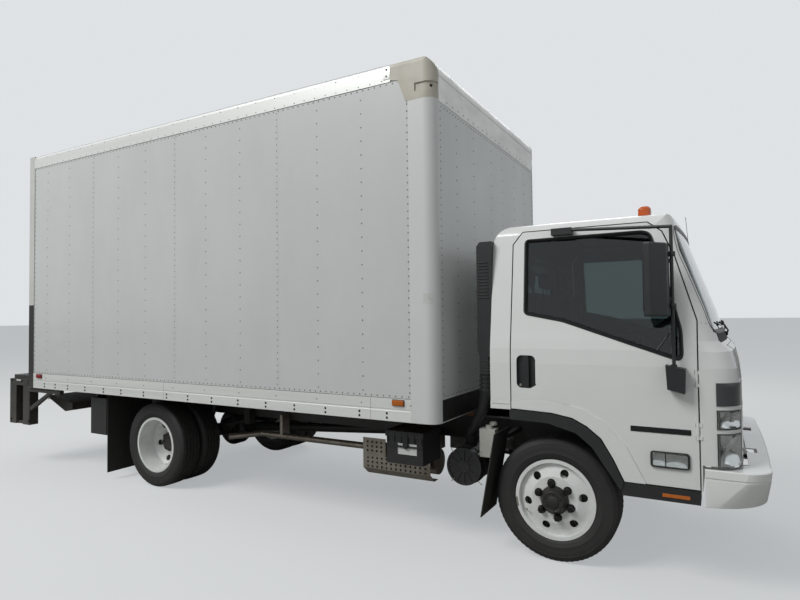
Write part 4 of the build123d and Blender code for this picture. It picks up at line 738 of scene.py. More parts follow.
def circle(one: Vector, other: Vector, count: int) -> list[Vector]:
    """Evenly spaced directions from one of two that are square, round through the other."""
    turns = [math.tau * i / count for i in range(count)]
    return [one * math.cos(turn) + other * math.sin(turn) for turn in turns]


@dataclass
class Former:
    """Points and faces of one piece, in millimetres from the front axle."""

    points: list[Vector] = field(default_factory=list)
    faces: list[tuple[int, ...]] = field(default_factory=list)

    def loft(self, rings: list, joined: bool = False) -> "Former":
        """Joins rings of points into a closed body.

        Args:
            rings: rings with the same number of points, in order.
            joined: whether the last ring runs back to the first; otherwise both get an end.

        Returns:
            This former.
        """
        first, around, count = len(self.points), len(rings[0]), len(rings)
        self.points.extend(Vector(p) for ring in rings for p in ring)
        for i in range(count if joined else count - 1):
            here, there = first + i * around, first + (i + 1) % count * around
            for j in range(around):
                k = (j + 1) % around
                self.faces.append((here + j, here + k, there + k, there + j))
        if not joined:
            last = first + (count - 1) * around
            self.faces += [tuple(range(end, end + around)) for end in (first, last)]
        return self

    def sheet(self, grid: list, depth: Point) -> "Former":
        """Adds a sheet whose face is a grid of points.

        Args:
            grid: rows of points on the sheet's face.
            depth: the way from the face to its back, as long as the sheet is thick.

        Returns:
            This former.
        """
        first, rows, columns = len(self.points), len(grid), len(grid[0])
        size = rows * columns
        for shift in (Vector((0, 0, 0)), Vector(depth)):
            self.points.extend(Vector(p) + shift for row in grid for p in row)
        for r in range(rows - 1):
            for c in range(columns - 1):
                q = first + r * columns + c
                back = q + size
                self.faces.append((q, q + 1, q + columns + 1, q + columns))
                self.faces.append((back, back + columns, back + columns + 1, back + 1))
        top = [first + c for c in range(columns)]
        right = [first + r * columns + columns - 1 for r in range(1, rows)]
        bottom = [first + (rows - 1) * columns + c for c in reversed(range(columns - 1))]
        left = [first + r * columns for r in reversed(range(1, rows - 1))]
        rim = top + right + bottom + left
        for one, other in zip(rim, rim[1:] + rim[:1]):
            self.faces.append((one, other, other + size, one + size))
        return self

    def block(self, x0: float, x1: float, y0: float, y1: float, z0: float, z1: float) -> "Former":
        """Adds a plain block between two corners."""
        return self.loft([[(x, y0, z0), (x, y1, z0), (x, y1, z1), (x, y0, z1)] for x in (x0, x1)])

    def turned(self, profile: Profile, centre: Point, axis: Point, steps: int) -> "Former":
        """Turns a closed profile about an axis.

        Args:
            profile: points as radius and distance along the axis, in order round the section.
            centre: the point that distances count from.
            axis: the way that distances count.
            steps: how many runs make up the circle.

        Returns:
            This former.
        """
        centre, way = Vector(centre), Vector(axis).normalized()
        outs = circle(*across_frame(way), steps)
        rings = [[centre + out * r + way * run for r, run in profile] for out in outs]
        return self.loft(rings, joined=True)

    def tube(self, path: list, radius: float, sides: int) -> "Former":
        """Adds a round bar or hose along a line of points.

        Args:
            path: the points that its middle follows.
            radius: half its thickness.
            sides: how many faces go round it.

        Returns:
            This former.
        """
        path = [Vector(p) for p in path]
        out, rings = None, []
        for i, place in enumerate(path):
            way = (path[min(i + 1, len(path) - 1)] - path[max(i - 1, 0)]).normalized()
            if out is None:
                out = across_frame(way)[0]
            out = (out - way * out.dot(way)).normalized()
            rings.append([place + o * radius for o in circle(out, way.cross(out), sides)])
        return self.loft(rings)

    def stack(self, place: Point, way: Point, levels: Profile, sides: int) -> None:
        """Adds a many-sided head that changes its width on the way up.

        Args:
            place: the middle of its foot.
            way: the way that it stands.
            levels: its radius and height, ring by ring.
            sides: how many faces go round it.
        """
        place, way = Vector(place), Vector(way).normalized()
        outs = circle(*across_frame(way), sides)
        self.loft([[place + out * r + way * rise for out in outs] for r, rise in levels])

    def dome(self, place: Point, way: Point, radius: float, height: float, sides: int) -> None:
        """Adds the low round head of a rivet or carriage bolt, on its foot's middle."""
        shape = ((1.0, -0.2), (0.86, 0.6), (0.4, 1.0))
        self.stack(place, way, [(radius * share, height * rise) for share, rise in shape], sides)

    def bolt(
        self, place: Point, way: Point, radius: float, height: float, washer: float = 0.0
    ) -> None:
        """Adds a hexagon head with bevelled corners, and a washer under it where one is wanted.

        Args:
            place: the middle of its foot.
            way: the way that it stands.
            radius: half its width over the corners.
            height: how far it stands.
            washer: the washer's radius, or zero for none.
        """
        foot = height * 0.14 if washer else 0.0
        if washer:
            self.turned([(0, -0.2), (washer, -0.2), (washer, foot), (0, foot)], place, way, 16)
        levels = ((radius, foot), (radius, height * 0.88), (radius * 0.84, height))
        self.stack(place, way, levels, 6)

    def piece(
        self, name: str, body: str, finish: Dress, slot: str, bevel_mm: float = 0.0,
        smooth: float = 35.0,
    ) -> bpy.types.Object:
        """Makes the gathered form a piece of the truck.

        Args:
            name: the piece's name.
            body: the body that it rides on.
            finish: what its surface is.
            slot: the record's material slot that it belongs to; it is not used.
            bevel_mm: how far its sharp edges are rounded.
            smooth: the angle in degrees above which an edge stays sharp.

        Returns:
            The new object, in metres.
        """
        mesh = bpy.data.meshes.new(name)
        mesh.from_pydata([p * MM + ORIGIN for p in self.points], [], self.faces)
        form = bmesh.new()
        form.from_mesh(mesh)
        bmesh.ops.remove_doubles(form, verts=form.verts, dist=2e-5)
        bmesh.ops.dissolve_degenerate(form, edges=form.edges, dist=1e-5)
        bmesh.ops.recalc_face_normals(form, faces=form.faces)
        form.to_mesh(mesh)
        form.free()
        mesh.polygons.foreach_set("use_smooth", [True] * len(mesh.polygons))
        mesh.set_sharp_from_angle(angle=math.radians(smooth))
        mesh.materials.append(surface(finish))
        thing = bpy.data.objects.new(name, mesh)
        bpy.context.scene.collection.objects.link(thing)
        if bevel_mm:
            edge = thing.modifiers.new("soft_edges", "BEVEL")
            edge.width = bevel_mm * MM
            edge.segments = 2
            edge.limit_method = "ANGLE"
        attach(thing, body)
        LOG.info("%s on %s: %d faces", name, body, len(mesh.polygons))
        return thing


@cache
def faces_of(nodes: str) -> BVHTree:
    """Gathers the faces of CAD nodes, in millimetres from the front axle.

    Args:
        nodes: the nodes' names, with spaces between them.

    Returns:
        Their faces, ready for lines of sight.
    """
    points, faces = [], []
    for name in nodes.split():
        mesh = frame["nodes"][name].data
        first = len(points)
        points += [(v.co - ORIGIN) / MM for v in mesh.vertices]
        faces += [tuple(first + i for i in p.vertices) for p in mesh.polygons]
    return BVHTree.FromPolygons(points, faces)


@dataclass(frozen=True)
class Skin:
    """The faces of some CAD nodes as seen from one side, for trim to be laid on.

    Lines of sight start far out along the side's axis, or inside the cab where far is negative.
    """

    side: Side
    nodes: str
    far: float = 1500.0

    @property
    def way(self) -> Vector:
        """The way that looks at the faces."""
        return Vector(self.side.value)

    def hit(self, across: float, up: float) -> Vector | None:
        """Where a line of sight meets the faces.

        Args:
            across: X on the right, left and top, and Y at the front and rear.
            up: Z, or Y on the top.

        Returns:
            The point, or nothing if the line misses.
        """
        start = [across, up]
        start.insert([abs(v) for v in self.side.value].index(1), 0.0)
        return faces_of(self.nodes).ray_cast(Vector(start) - self.way * self.far, self.way)[0]

    def patch(
        self, form: Former, across: tuple[float, float], up: tuple[float, float], proud: float,
        steps: tuple[int, int], sunk: float = 1.0,
    ) -> None:
        """Adds a sheet that follows the faces between two corners.

        Args:
            form: the former that the sheet is added to.
            across: its two ends across the view.
            up: its bottom and top.
            proud: how far its face stands out.
            steps: how many points it has each way.
            sunk: how far its back lies behind the faces.
        """
        rows = (
            [self.hit(place, height) for place in between(*across, steps[0])]
            for height in between(*up, steps[1])
        )
        grid = [[p - self.way * proud for p in row] for row in rows if None not in row]
        if len(grid) > 1:
            form.sheet(grid, self.way * (proud + sunk))

    def line(self, form: Former, path: list, radius: float, lift: float = 0.0) -> None:
        """Adds a thin bead that follows the faces, for a seam or a joint's sealant."""
        found = [self.hit(*p) for p in along_line(path, 35.0)]
        form.tube([p - self.way * lift for p in found if p is not None], radius, 6)

    def plate(self, form: Former, outline: list, levels: Profile, joined: bool = False) -> None:
        """Adds a plate or a rim that follows the faces under it.

        Args:
            form: the former that it is added to.
            outline: its outline across and up the view.
            levels: how far the outline is drawn in and how far it stands out, ring by ring.
            joined: whether the last ring runs back to the first, as in a rim.
        """
        centre = sum(outline, Vector((0, 0))) / len(outline)
        half = max((p - centre).length for p in outline)
        feet = [self.hit(*p) for p in outline]
        if None in feet:
            return
        core = sum(feet, Vector((0, 0, 0))) / len(feet)
        form.loft([
            [foot.lerp(core, min(0.98, inset / half)) - self.way * proud for foot in feet]
            for inset, proud in levels
        ], joined)


@dataclass
class Seal:
    """A rubber moulding round a pane, from the sheet metal outside it to the glass inside it."""

    name: str
    body: str
    outline: Profile
    metal: Skin
    pane: Skin
    outer: float
    inner: float
    crown: float = 3.0
    corner: float = 60.0

    def build(self) -> None:
        """Lays the moulding round the outline."""
        way = self.metal.way
        corners = [tuple(p) for p in rounded(list(self.outline), self.corner, 5)]
        path = along_line(corners, 45.0, closed=True)
        centre = sum(path, Vector((0, 0))) / len(path)
        rings, kept = [], None
        for i, place in enumerate(path):
            along = (path[(i + 1) % len(path)] - path[i - 1]).normalized()
            out = Vector((along.y, -along.x))
            if out.dot(place - centre) < 0:
                out = -out
            there = [self.metal.hit(*(place + out * self.outer))]
            there.append(self.pane.hit(*(place - out * self.inner)))
            if None in there:
                if kept is None:
                    continue
                there = [p or k for p, k in zip(there, kept)]
            kept = edge, glass = there
            lip = edge.lerp(glass, 0.35)
            lip = lip + way * ((edge - lip).dot(way))
            rings.append([
                edge + way * 2,
                edge - way * self.crown,
                lip - way * self.crown * 1.3,
                glass - way * 2,
                glass + way,
            ])
        form = Former().loft(rings, joined=True)
        form.piece(self.name, self.body, SEAL_RUBBER, "black_plastic", smooth=60)


@dataclass
class Tyre:
    """A highway tyre: four grooves with a slight zigzag, notched shoulders and ringed sidewalls."""

    radius: float = 402.0
    crown_drop: float = 1.8
    tread_half: float = 86.0
    groove_depth: float = 11.0
    groove_half: float = 4.5
    groove_draft: float = 1.5
    grooves: tuple[float, ...] = (57.0, 19.0, -19.0, -57.0)
    zigzag: float = 2.5
    notch: float = 2.6
    notched_from: float = 390.0
    steps: int = 144
    # Radius and distance from the tyre's middle, from the bead to the shoulder.
    sidewall: Profile = (
        (248.6, 80), (248.6, 88), (261, 93.5), (264, 98), (271, 104.5), (284, 108.6),
        (298, 110.4), (301, 111.9), (306, 112.3), (309, 111.2), (332, 112.4), (350, 111.2),
        (362, 108.8), (364, 109.6), (369, 108.4), (371, 106.9), (386, 101.2), (393, 96.6),
        (398.2, 91),
    )

    def crown(self, place: float) -> float:
        """The tread's radius at a distance from the tyre's middle."""
        return self.radius - self.crown_drop * (place / self.tread_half) ** 2

    def section(self, step: int) -> list[tuple[float, float]]:
        """The tyre's section at one step round it.

        Args:
            step: the step's number.

        Returns:
            Radius and distance from the tyre's middle, in order round the section.
        """
        cut, shift = (self.notch, self.zigzag) if step % 2 else (0.0, -self.zigzag)
        wall = [(r - (cut if r > self.notched_from else 0), y) for r, y in self.sidewall]
        wall.append((self.crown(self.tread_half) - cut, self.tread_half))
        half, foot_half = self.groove_half, self.groove_half - self.groove_draft
        tread = []
        for place in self.grooves:
            top = self.crown(place)
            foot, core = top - self.groove_depth, place + shift
            tread += [(top, core + half), (foot, core + foot_half), (foot, core - foot_half)]
            tread.append((top, core - half))
        return wall + tread + [(r, -y) for r, y in reversed(wall)]

    def add(self, form: Former, centre: Vector) -> None:
        """Adds one tyre.

        Args:
            form: the former that it is added to.
            centre: its middle.
        """
        rings = []
        for step in range(self.steps):
            turn = math.tau * step / self.steps
            out = Vector((math.sin(turn), 0, -math.cos(turn)))
            rings.append([centre + out * r + Vector((0, y, 0)) for r, y in self.section(step)])
        form.loft(rings, joined=True)


@dataclass
class Wheels:
    """The wheels of one side: tyres, hub covers, nuts, valve stems and a balance weight."""

    hand: Hand
    front_centre: float = 832.5
    rear_disc: float = 825.0
    twin_half: float = 127.0
    axle_height: float = 402.0
    stud_circle: float = 111.0
    first_stud: float = 40.0
    stud_count: int = 6
    # Half the nut's width over its corners, its height and its washer's radius.
    nut: tuple[float, float, float] = (22.5, 36.0, 27.0)
    # How far the nuts' feet stand out from the tyre's middle in front, and from the twin's.
    discs: tuple[float, float] = (100.0, 8.0)
    front_hub: Profile = (
        (0, 101), (93, 101), (93, 108), (90, 112), (72, 146), (67, 154.5), (61, 156),
        (57, 153.6), (40, 153.6), (37, 160), (30, 163), (0, 164.5),
    )
    rear_hub: Profile = (
        (0, 9), (93, 9), (93, 62), (89, 68), (88, 74), (60, 74), (56, 71.5), (0, 71.5)
    )
    # Each hub's cap bolts: how far out, their circle, count, first angle, radius and height.
    front_caps: tuple[float, ...] = (153.6, 49, 6, 30, 6.5, 6)
    rear_caps: tuple[float, ...] = (74, 74, 8, 0, 8.5, 8)
    drum: Profile = (
        (163, -66), (212, -66), (214, -60), (210, -54), (210, 34), (204, 40), (163, 40)
    )
    valve_cap: Profile = ((0, 0), (6, 0), (6, 12), (4.5, 14), (0, 14))
    weight: Profile = ((259, 97), (263, 104), (252, 105), (246, 96))
    stem_radius: float = 4.2

    def build(self) -> None:
        """Dresses the front wheel and the rear pair."""
        hand = self.hand
        front = hand.at(0, self.front_centre, self.axle_height)
        rear = hand.at(REAR_AXLE_MM, self.rear_disc, self.axle_height)
        twins = [rear + hand.out * step for step in (-self.twin_half, self.twin_half)]
        for name, body, node, centres in (
            ("front_tyre_ribbed", "front_wheel", "front_tyre", [front]),
            ("rear_tyre_pair", "rear_wheels", "rear_tyres", twins),
        ):
            form = Former()
            for centre in centres:
                Tyre().add(form, centre)
            tyre = form.piece(hand.named(name), hand.named(body), TYRE_RUBBER, "tyre", smooth=28)
            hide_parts(hand.named(node))
        for word, body, centre, disc, hub, caps in (
            ("front", "front_wheel", front, self.discs[0], self.front_hub, self.front_caps),
            ("rear", "rear_wheels", rear, self.discs[1], self.rear_hub, self.rear_caps),
        ):
            nuts, cover, body = Former(), Former(), hand.named(body)
            studs = (disc, self.stud_circle, self.stud_count, self.first_stud, *self.nut)
            self.add_ring(nuts, centre, *studs)
            nuts.piece(hand.named(f"{word}_wheel_nuts"), body, BLACK_FASTENER, "cast_black", 0.8)
            cover.turned(hub, centre, hand.out, 48)
            self.add_ring(cover, centre, *caps)
            cover.piece(hand.named(f"{word}_hub_cover"), body, CAST_IRON, "cast_black", 0.8)
        self.add_trim(front, rear)

    def add_ring(
        self, form: Former, centre: Vector, out: float, radius: float, count: int, first: float,
        *head: float,
    ) -> None:
        """Adds a ring of bolts out from a wheel's middle, from the first one's angle on."""
        for turn in stepped(first, 360 / count, count):
            form.bolt(centre + spoke(turn) * radius + self.hand.out * out, self.hand.out, *head)

    def add_trim(self, front: Vector, rear: Vector) -> None:
        """Adds the valves, the balance weight, and the drum that darkens the hand holes.

        Args:
            front: the front wheel's middle.
            rear: the rear pair's middle.
        """
        hand, out = self.hand, self.hand.out
        body = hand.named("front_wheel")
        valve, way = Former(), spoke(205)
        foot = front + way * 226 + out * 52
        stem = [foot, foot + out * 26 - way * 5, foot + out * 52 - way * 18]
        valve.tube(stem, self.stem_radius, 8)
        valve.turned(self.valve_cap, foot + out * 50 - way * 17.5, out - way * 0.5, 12)
        valve.piece(hand.named("front_valve"), body, ZINC_PLATE, "cast_black")
        weight = Former().loft([
            [front + spoke(turn) * r + out * y for r, y in self.weight]
            for turn in stepped(183, 3.5, 5)
        ])
        weight.piece(hand.named("balance_weight"), body, ZINC_PLATE, "wheel_white", 0.8)
        drum = Former().turned(self.drum, front, out, 48)
        drum.piece(hand.named("front_brake_drum"), body, CAST_IRON, "cast_black", 1)
        valves = Former()
        for turn, reach in ((100, 30), (280, 70)):
            way = spoke(turn)
            foot = rear + way * 222 + out * (self.twin_half - 60)
            stem = [foot, foot + out * reach * 0.5 - way * 8, foot + out * reach - way * 20]
            valves.tube(stem, self.stem_radius, 8)
        body = hand.named("rear_wheels")
        valves.piece(hand.named("rear_valves"), body, ZINC_PLATE, "cast_black")


# The body's rivets: half a head's width and its height, and the wide and the close pitch.
RIVET = (6.4, 2.2)
WIDE, CLOSE = 101.6, 50.8


@dataclass
class BodySide:
    """One side of the van body: the dented sheet, rivets, rail bolts and seams."""

    hand: Hand
    rear: float = -5619.0
    front: float = -911.0
    bottom: float = 1039.0
    top: float = 3299.0
    wall: float = 1213.0
    lift: float = 1.4
    pillow: float = 1.1
    first_post: float = -5370.0
    post_pitch: float = 406.4
    post_count: int = 12
    laps: tuple[int, ...] = (2, 5, 8)
    rail_bolts: tuple[float, ...] = (
        -5403, -5203, -4976, -4676, -4370, -4095, -3760, -3437, -3157, -2859, -2549, -2242,
        -1946, -1645, -1337, -1104,
    )
    # Dents by X, Z, half length, half height and depth, on the truck's right.
    dents: tuple[tuple[float, ...], ...] = (
        (-2330, 1830, 230, 9, 0.8), (-5150, 1490, 330, 14, 1.5), (-5080, 1320, 170, 70, 2.0),
        (-4770, 1210, 60, 50, 1.8), (-4510, 1353, 80, 22, 1.9), (-4300, 1290, 120, 45, 1.4),
        (-4110, 1370, 60, 60, 1.5), (-5480, 1420, 60, 40, 1.2),
    )

    def build(self) -> None:
        """Dresses the side."""
        self.add_sheet()
        self.add_rivets()
        self.add_rail_bolts()
        self.add_seams()

    def skin(self, along: float, up: float, proud: float = 0.0) -> Vector:
        """A point on the side sheet, which pillows between its posts.

        Args:
            along: X of the point.
            up: its Z.
            proud: how far it stands out from the sheet.

        Returns:
            The point.
        """
        share = (along - self.first_post) / self.post_pitch
        wave = math.sin(up * 0.0045 + math.floor(share) * 1.7) * 0.35 + 0.65
        out = self.lift + self.pillow * abs(math.sin(math.pi * share)) * wave
        for x, z, half_x, half_z, depth in self.dents if self.hand.sign < 0 else ():
            near = ((along - x) / half_x) ** 2 + ((up - z) / half_z) ** 2
            if near < 4:
                out -= depth * math.exp(-1.5 * near) * math.cos(2.2 * near)
        return self.hand.at(along, self.wall + max(out, 0.4) + proud, up)

    def add_sheet(self) -> None:
        """Adds the sheet, and the raised strips where two sheets overlap."""
        ups = between(self.bottom, self.top, 92)
        alongs = between(self.rear, self.front, 190)
        grid = [[self.skin(x, z) for x in alongs] for z in ups]
        sheet = Former().sheet(grid, self.hand.out * -0.9)
        name = self.hand.named("side_sheet")
        sheet.piece(name, "chassis", SHEET_PAINT, "body_skin", smooth=60)
        strips = Former()
        ups = between(self.bottom + 1, self.top - 1, 60)
        for number in self.laps:
            post = self.first_post + number * self.post_pitch
            grid = [[self.skin(x, z, 0.7) for x in (post - 14, post + 14)] for z in ups]
            strips.sheet(grid, self.hand.out * -0.8)
        name = self.hand.named("sheet_laps")
        strips.piece(name, "chassis", SHEET_PAINT, "body_skin", smooth=60)

    def add_rivets(self) -> None:
        """Adds the sheet's rivets, closer together where two sheets overlap."""
        places = []
        for i, along in enumerate(stepped(self.first_post, self.post_pitch, self.post_count)):
            pitch = CLOSE if i % 3 == 2 else WIDE
            count = int((self.top - self.bottom - 60) / pitch) + 1
            along = min(along, self.front - 8)
            places += [(along, up) for up in stepped(self.bottom + 45, pitch, count)]
        count = int((self.front - self.rear - 30) / CLOSE) + 1
        for along in stepped(self.rear + 15, CLOSE, count):
            places += [(along, self.bottom + 15), (along, self.top - 14)]
        places += [(self.rear + 14, up) for up in stepped(self.bottom + 40, CLOSE, 43)]
        # The rivets' dark grey is painted shade for the small shadow round each head.
        form = Former()
        for place in places:
            form.dome(self.skin(*place), self.hand.out, *RIVET, 6)
        name = self.hand.named("side_rivets")
        form.piece(name, "chassis", SHADED_RIVET, "body_skin", smooth=50)

    def add_rail_bolts(self) -> None:
        """Adds the pairs of bolts that hold the lower rail, and the rivets on both rails."""
        bolts, rivets = Former(), Former()
        rail = Skin(self.hand.side, "box_rails")
        posts = stepped(self.first_post - 12, self.post_pitch, self.post_count)
        rows = [(bolts, self.rail_bolts, up, (9.5, 5, 8)) for up in (900, 931)]
        rows.append((rivets, posts, 995, (6, 2.5, 6)))
        for up, pitch in ((3316, WIDE), (3398, WIDE * 2)):
            places = stepped(self.rear + 30, pitch, int(4600 / pitch))
            rows.append((rivets, places, up, (5.2, 2.4, 6)))
        for form, places, up, head in rows:
            for along in places:
                foot = rail.hit(along, up)
                if foot:
                    form.dome(foot, self.hand.out, *head)
        for form, name, finish in (
            (bolts, "rail_bolts", BLACK_FASTENER), (rivets, "rail_rivets", SHADED_RIVET)
        ):
            form.piece(self.hand.named(name), "chassis", finish, "rail_aluminium", smooth=50)

    def add_seams(self) -> None:
        """Adds painted shade where the sheet meets the rails and posts, and a dark strip along the
        roof edge.
        """
        hand, form, out = self.hand, Former(), self.wall + 1.6
        # Near-black lines round the sheet: painted shade where it meets the rails and posts.
        for up in (self.bottom, self.top + 0.6):
            form.tube([hand.at(along, out, up) for along in (self.rear, self.front)], 1.6, 6)
        for along in (self.rear, self.front):
            form.tube([hand.at(along, out, up) for up in (self.bottom, self.top)], 1.4, 6)
        form.piece(hand.named("sheet_edge_shade_lines"), "chassis", GAP_SHADE, "body_skin")
        rail = Skin(hand.side, "box_rails")
        # A dark bead and strip along the top edge of the rail.
        bead = Former().tube([hand.at(along, 1196, 3432.5) for along in (-5700, -1060)], 3, 6)
        rail.patch(bead, (-5695, -1066), (3421, 3434), 0.8, (30, 3))
        bead.piece(hand.named("roof_edge_dark_strip"), "chassis", SEAL_RUBBER, "rail_aluminium")
        # Near-black lines at the rail's joints: painted shade in the joints.
        joints = Former()
        for along in (-1240, -3480):
            rail.line(joints, [(along, 880), (along, 1034)], 0.9)
        joints.piece(hand.named("rail_joints"), "chassis", GAP_SHADE, "rail_aluminium")


@dataclass
class BodyEnds:
    """The van body's front wall and corners: rivets, splice plates, paint and a label."""

    posts: tuple[float, ...] = (-830, -490, -90, 190, 530, 840)
    splice: tuple[float, ...] = (-1108, -1052, 3322, 3418)

    def build(self) -> None:
        """Adds the front wall's rivets, then what is on the corners."""
        wall = Skin(Side.FRONT, "front_wall box_rails corner_posts", 0)
        places = [(across, up) for across in self.posts for up in stepped(1100, WIDE, 20)]
        places += [(across, up) for across in (-1110, 1110) for up in stepped(1075, CLOSE, 40)]
        places += [(across, up) for up in (1058, 3098) for across in stepped(-1090, CLOSE, 43)]
        places += [(across, 3150) for across in stepped(-1000, WIDE, 20)]
        # The rivets' dark grey is painted shade for the small shadow round each head.
        form = Former()
        for foot in (wall.hit(*place) for place in places):
            if foot:
                form.dome(foot, -wall.way, *RIVET, 6)
        form.piece("front_wall_rivets", "chassis", SHADED_RIVET, "body_skin", smooth=50)
        self.add_corners()

    def add_corners(self) -> None:
        """Adds the splice plates, post rivets, a blank label and the paint on the rear posts."""
        plates, rivets, paint, sill, label = (Former() for _ in range(5))
        posts = "box_rails corner_castings corner_posts"
        for hand in HANDS:
            corner = Skin(hand.side, posts)
            corner.plate(plates, oblong(*self.splice, 8), [(0, -1), (0, 2.4), (1.2, 3.2)])
            for up in (3345, 3395):
                foot = corner.hit(-1080, up)
                if foot:
                    rivets.dome(foot + hand.out * 3.2, hand.out, 8, 4, 8)
            Skin(hand.side, "rear_frame").patch(paint, (-5716, -5622), (879, 1785), 0.6, (3, 3))
            across = sorted((hand.sign * 1124, hand.sign * 1216))
            Skin(Side.REAR, "rear_frame", 6500).patch(paint, across, (879, 1150), 0.6, (3, 3))
        Skin(Side.FRONT, posts, 0).patch(sill, (-1135, 1135), (884, 1036), 0.6, (40, 4))
        Skin(Side.RIGHT, posts).patch(label, (-805, -735), (1698, 1772), 0.5, (8, 3), 0.2)
        rail = "rail_aluminium"
        sill.piece("front_sill_black_paint", "chassis", CHASSIS_ENAMEL, rail)
        plates.piece("splice_plates", "chassis", MILL_ALUMINIUM, rail, 0.6)
        rivets.piece("post_rivets", "chassis", SHADED_RIVET, rail, smooth=50)
        paint.piece("rear_post_black_paint", "chassis", GATE_ENAMEL, "frame_paint")
        label.piece("post_label_blank", "chassis", LABEL_FILM, rail)


@dataclass
class MarkerLamps:
    """The body's side, tail and rear header lamps: a rubber base and a ribbed lens for each."""

    rear_face: float = -5717.0
    side_face: float = 1219.0
    header: tuple[float, ...] = (-1130, -200, 0, 200, 1130)
    tail_across: float = 1169.5
    tail_places: tuple[float, ...] = (1195, 1399.5)
    side_places: tuple[float, ...] = (-5500, -1010)
    # How far a ring stands out from the lens's outline and from the wall.
    base: Profile = ((2, -1), (2, 4), (0.5, 5.5))
    lens: Profile = ((-1.5, 3), (-1.5, 11), (-4, 14.5), (-11, 15.8))

    def build(self) -> None:
        """Adds every lamp of the body."""
        back, upright = Vector((-1, 0, 0)), Vector((0, 0, 1))
        # Each lamp's foot, the way that it faces, and half its lens's width and height.
        rows = [(Vector((self.rear_face, across, 3350)), back, 50, 20) for across in self.header]
        for hand in HANDS:
            for up in self.tail_places:
                rows.append((hand.at(self.rear_face, self.tail_across, up), back, 28.5, 82.5))
            for along in self.side_places:
                rows.append((hand.at(along, self.side_face, 1009), hand.out, 48, 21))
        bases, lenses = Former(), Former()
        for place, way, half, rise in rows:
            level = upright.cross(way)
            for form, levels in ((bases, self.base), (lenses, self.lens)):
                rings = []
                for grown, out in levels:
                    x, z = half + grown, rise + grown
                    outline, foot = oblong(-x, x, -z, z, 9), place + way * out
                    rings.append([foot + level * p.x + upright * p.y for p in outline])
                form.loft(rings)
        bases.piece("marker_lamp_bases", "chassis", SEAL_RUBBER, "black_plastic", 0.6)
        lamps = lenses.piece("marker_lamp_lenses", "chassis", MARKER_LENS, "lamp_amber")
        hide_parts("marker_lamps")


@dataclass
class RollDoor:
    """The roll-up door's outside: rivets, edge seals, lock, pull strap and grab handles."""

    face_x: float = -5687.0
    half: float = 1119.0
    foot: float = 1000.0
    panel: float = 319.7
    panels: int = 7
    hinges: tuple[float, ...] = (-1010, -505, 0, 505, 1010)
    grip_up: float = 1290.0
    lock_up: float = 1150.0
    knob: Profile = ((0, 4), (34, 4), (34, 14), (28, 20), (0, 20))
    grip_foot: Profile = ((0, -1), (17, -1), (17, 3), (12, 5), (0, 5))

    def build(self) -> None:
        """Dresses the door and the opening round it."""
        x, back = self.face_x, (-1, 0, 0)
        rivets = Former()
        for seam in stepped(self.foot + self.panel, self.panel, self.panels - 1):
            for across in self.hinges:
                for step, rise in ((-24, -30), (-24, 30), (24, -30), (24, 30)):
                    rivets.dome((x, across + step, seam + rise), back, 7, 2.6, 8)
        rivets.piece("door_hinge_rivets", "chassis", ZINC_PLATE, "door_panel", smooth=50)
        seals = Former()
        for hand in HANDS:
            near, far = sorted((hand.sign * (self.half - 30), hand.sign * (self.half - 4)))
            seals.block(x - 12, x - 0.5, near, far, 1004, 3225)
        seals.block(x - 12, x - 0.5, -1110, 1110, 3208, 3236)
        seals.block(x - 8, x - 0.5, -1085, 1085, 1002, 1030)
        seals.piece("door_edge_seals", "chassis", SEAL_RUBBER, "black_plastic", 2)
        self.add_lock()
        grips = Former()
        for across in (-760, 760):
            near, far = across - 80, across + 80
            bow = [(x, near), (x - 34, near), (x - 34, far), (x, far)]
            path = [(*p, self.grip_up) for p in rounded(bow, 22, 4)[5:-5]]
            grips.tube(path, 7, 10)
            for end in (near, far):
                grips.turned(self.grip_foot, (x, end, self.grip_up), back, 16)
        grips.piece("door_grab_handles", "chassis", ZINC_PLATE, "door_panel")

    def add_lock(self) -> None:
        """Adds the lock on its plate, with its lever, and the pull strap."""
        x, up, back = self.face_x, self.lock_up, (-1, 0, 0)
        plate = oblong(-150, 150, -60, 60, 18)
        lock = Former().loft([
            [(x - out, p.x * share, up + p.y * share) for p in plate]
            for out, share in ((-1, 1.0), (3, 1.0), (5, 0.97))
        ])
        lock.turned(self.knob, (x, 0, up), back, 32)
        lever = [(x - 8, -20), (x - 26, -20), (x - 26, 120), (x - 8, 120)]
        lock.tube([(*p, up) for p in rounded(lever, 14, 3)[4:-4]], 8, 10)
        lock.block(x - 14, x - 3, -16, 16, up - 110, up - 40)
        for across, rise in ((-135, -45), (-135, 45), (135, -45), (135, 45)):
            lock.bolt((x - 4.5, across, up + rise), back, 9, 6)
        lock.piece("door_lock", "chassis", ZINC_PLATE, "door_panel", 1)
        strap, section = [], ((0, -22), (0, 22), (2.4, 22), (2.4, -22))
        for i in range(10):
            out, across = 6 + 6 * math.sin(math.pi * i / 9), 330 + 1.5 * math.sin(i * 1.1)
            foot = Vector((x - out, across, 1560 - i * 58))
            strap.append([foot + Vector((-thick, wide, 0)) for thick, wide in section])
        Former().loft(strap).piece("door_pull_strap", "chassis", WEBBING, "door_panel", 0.4)


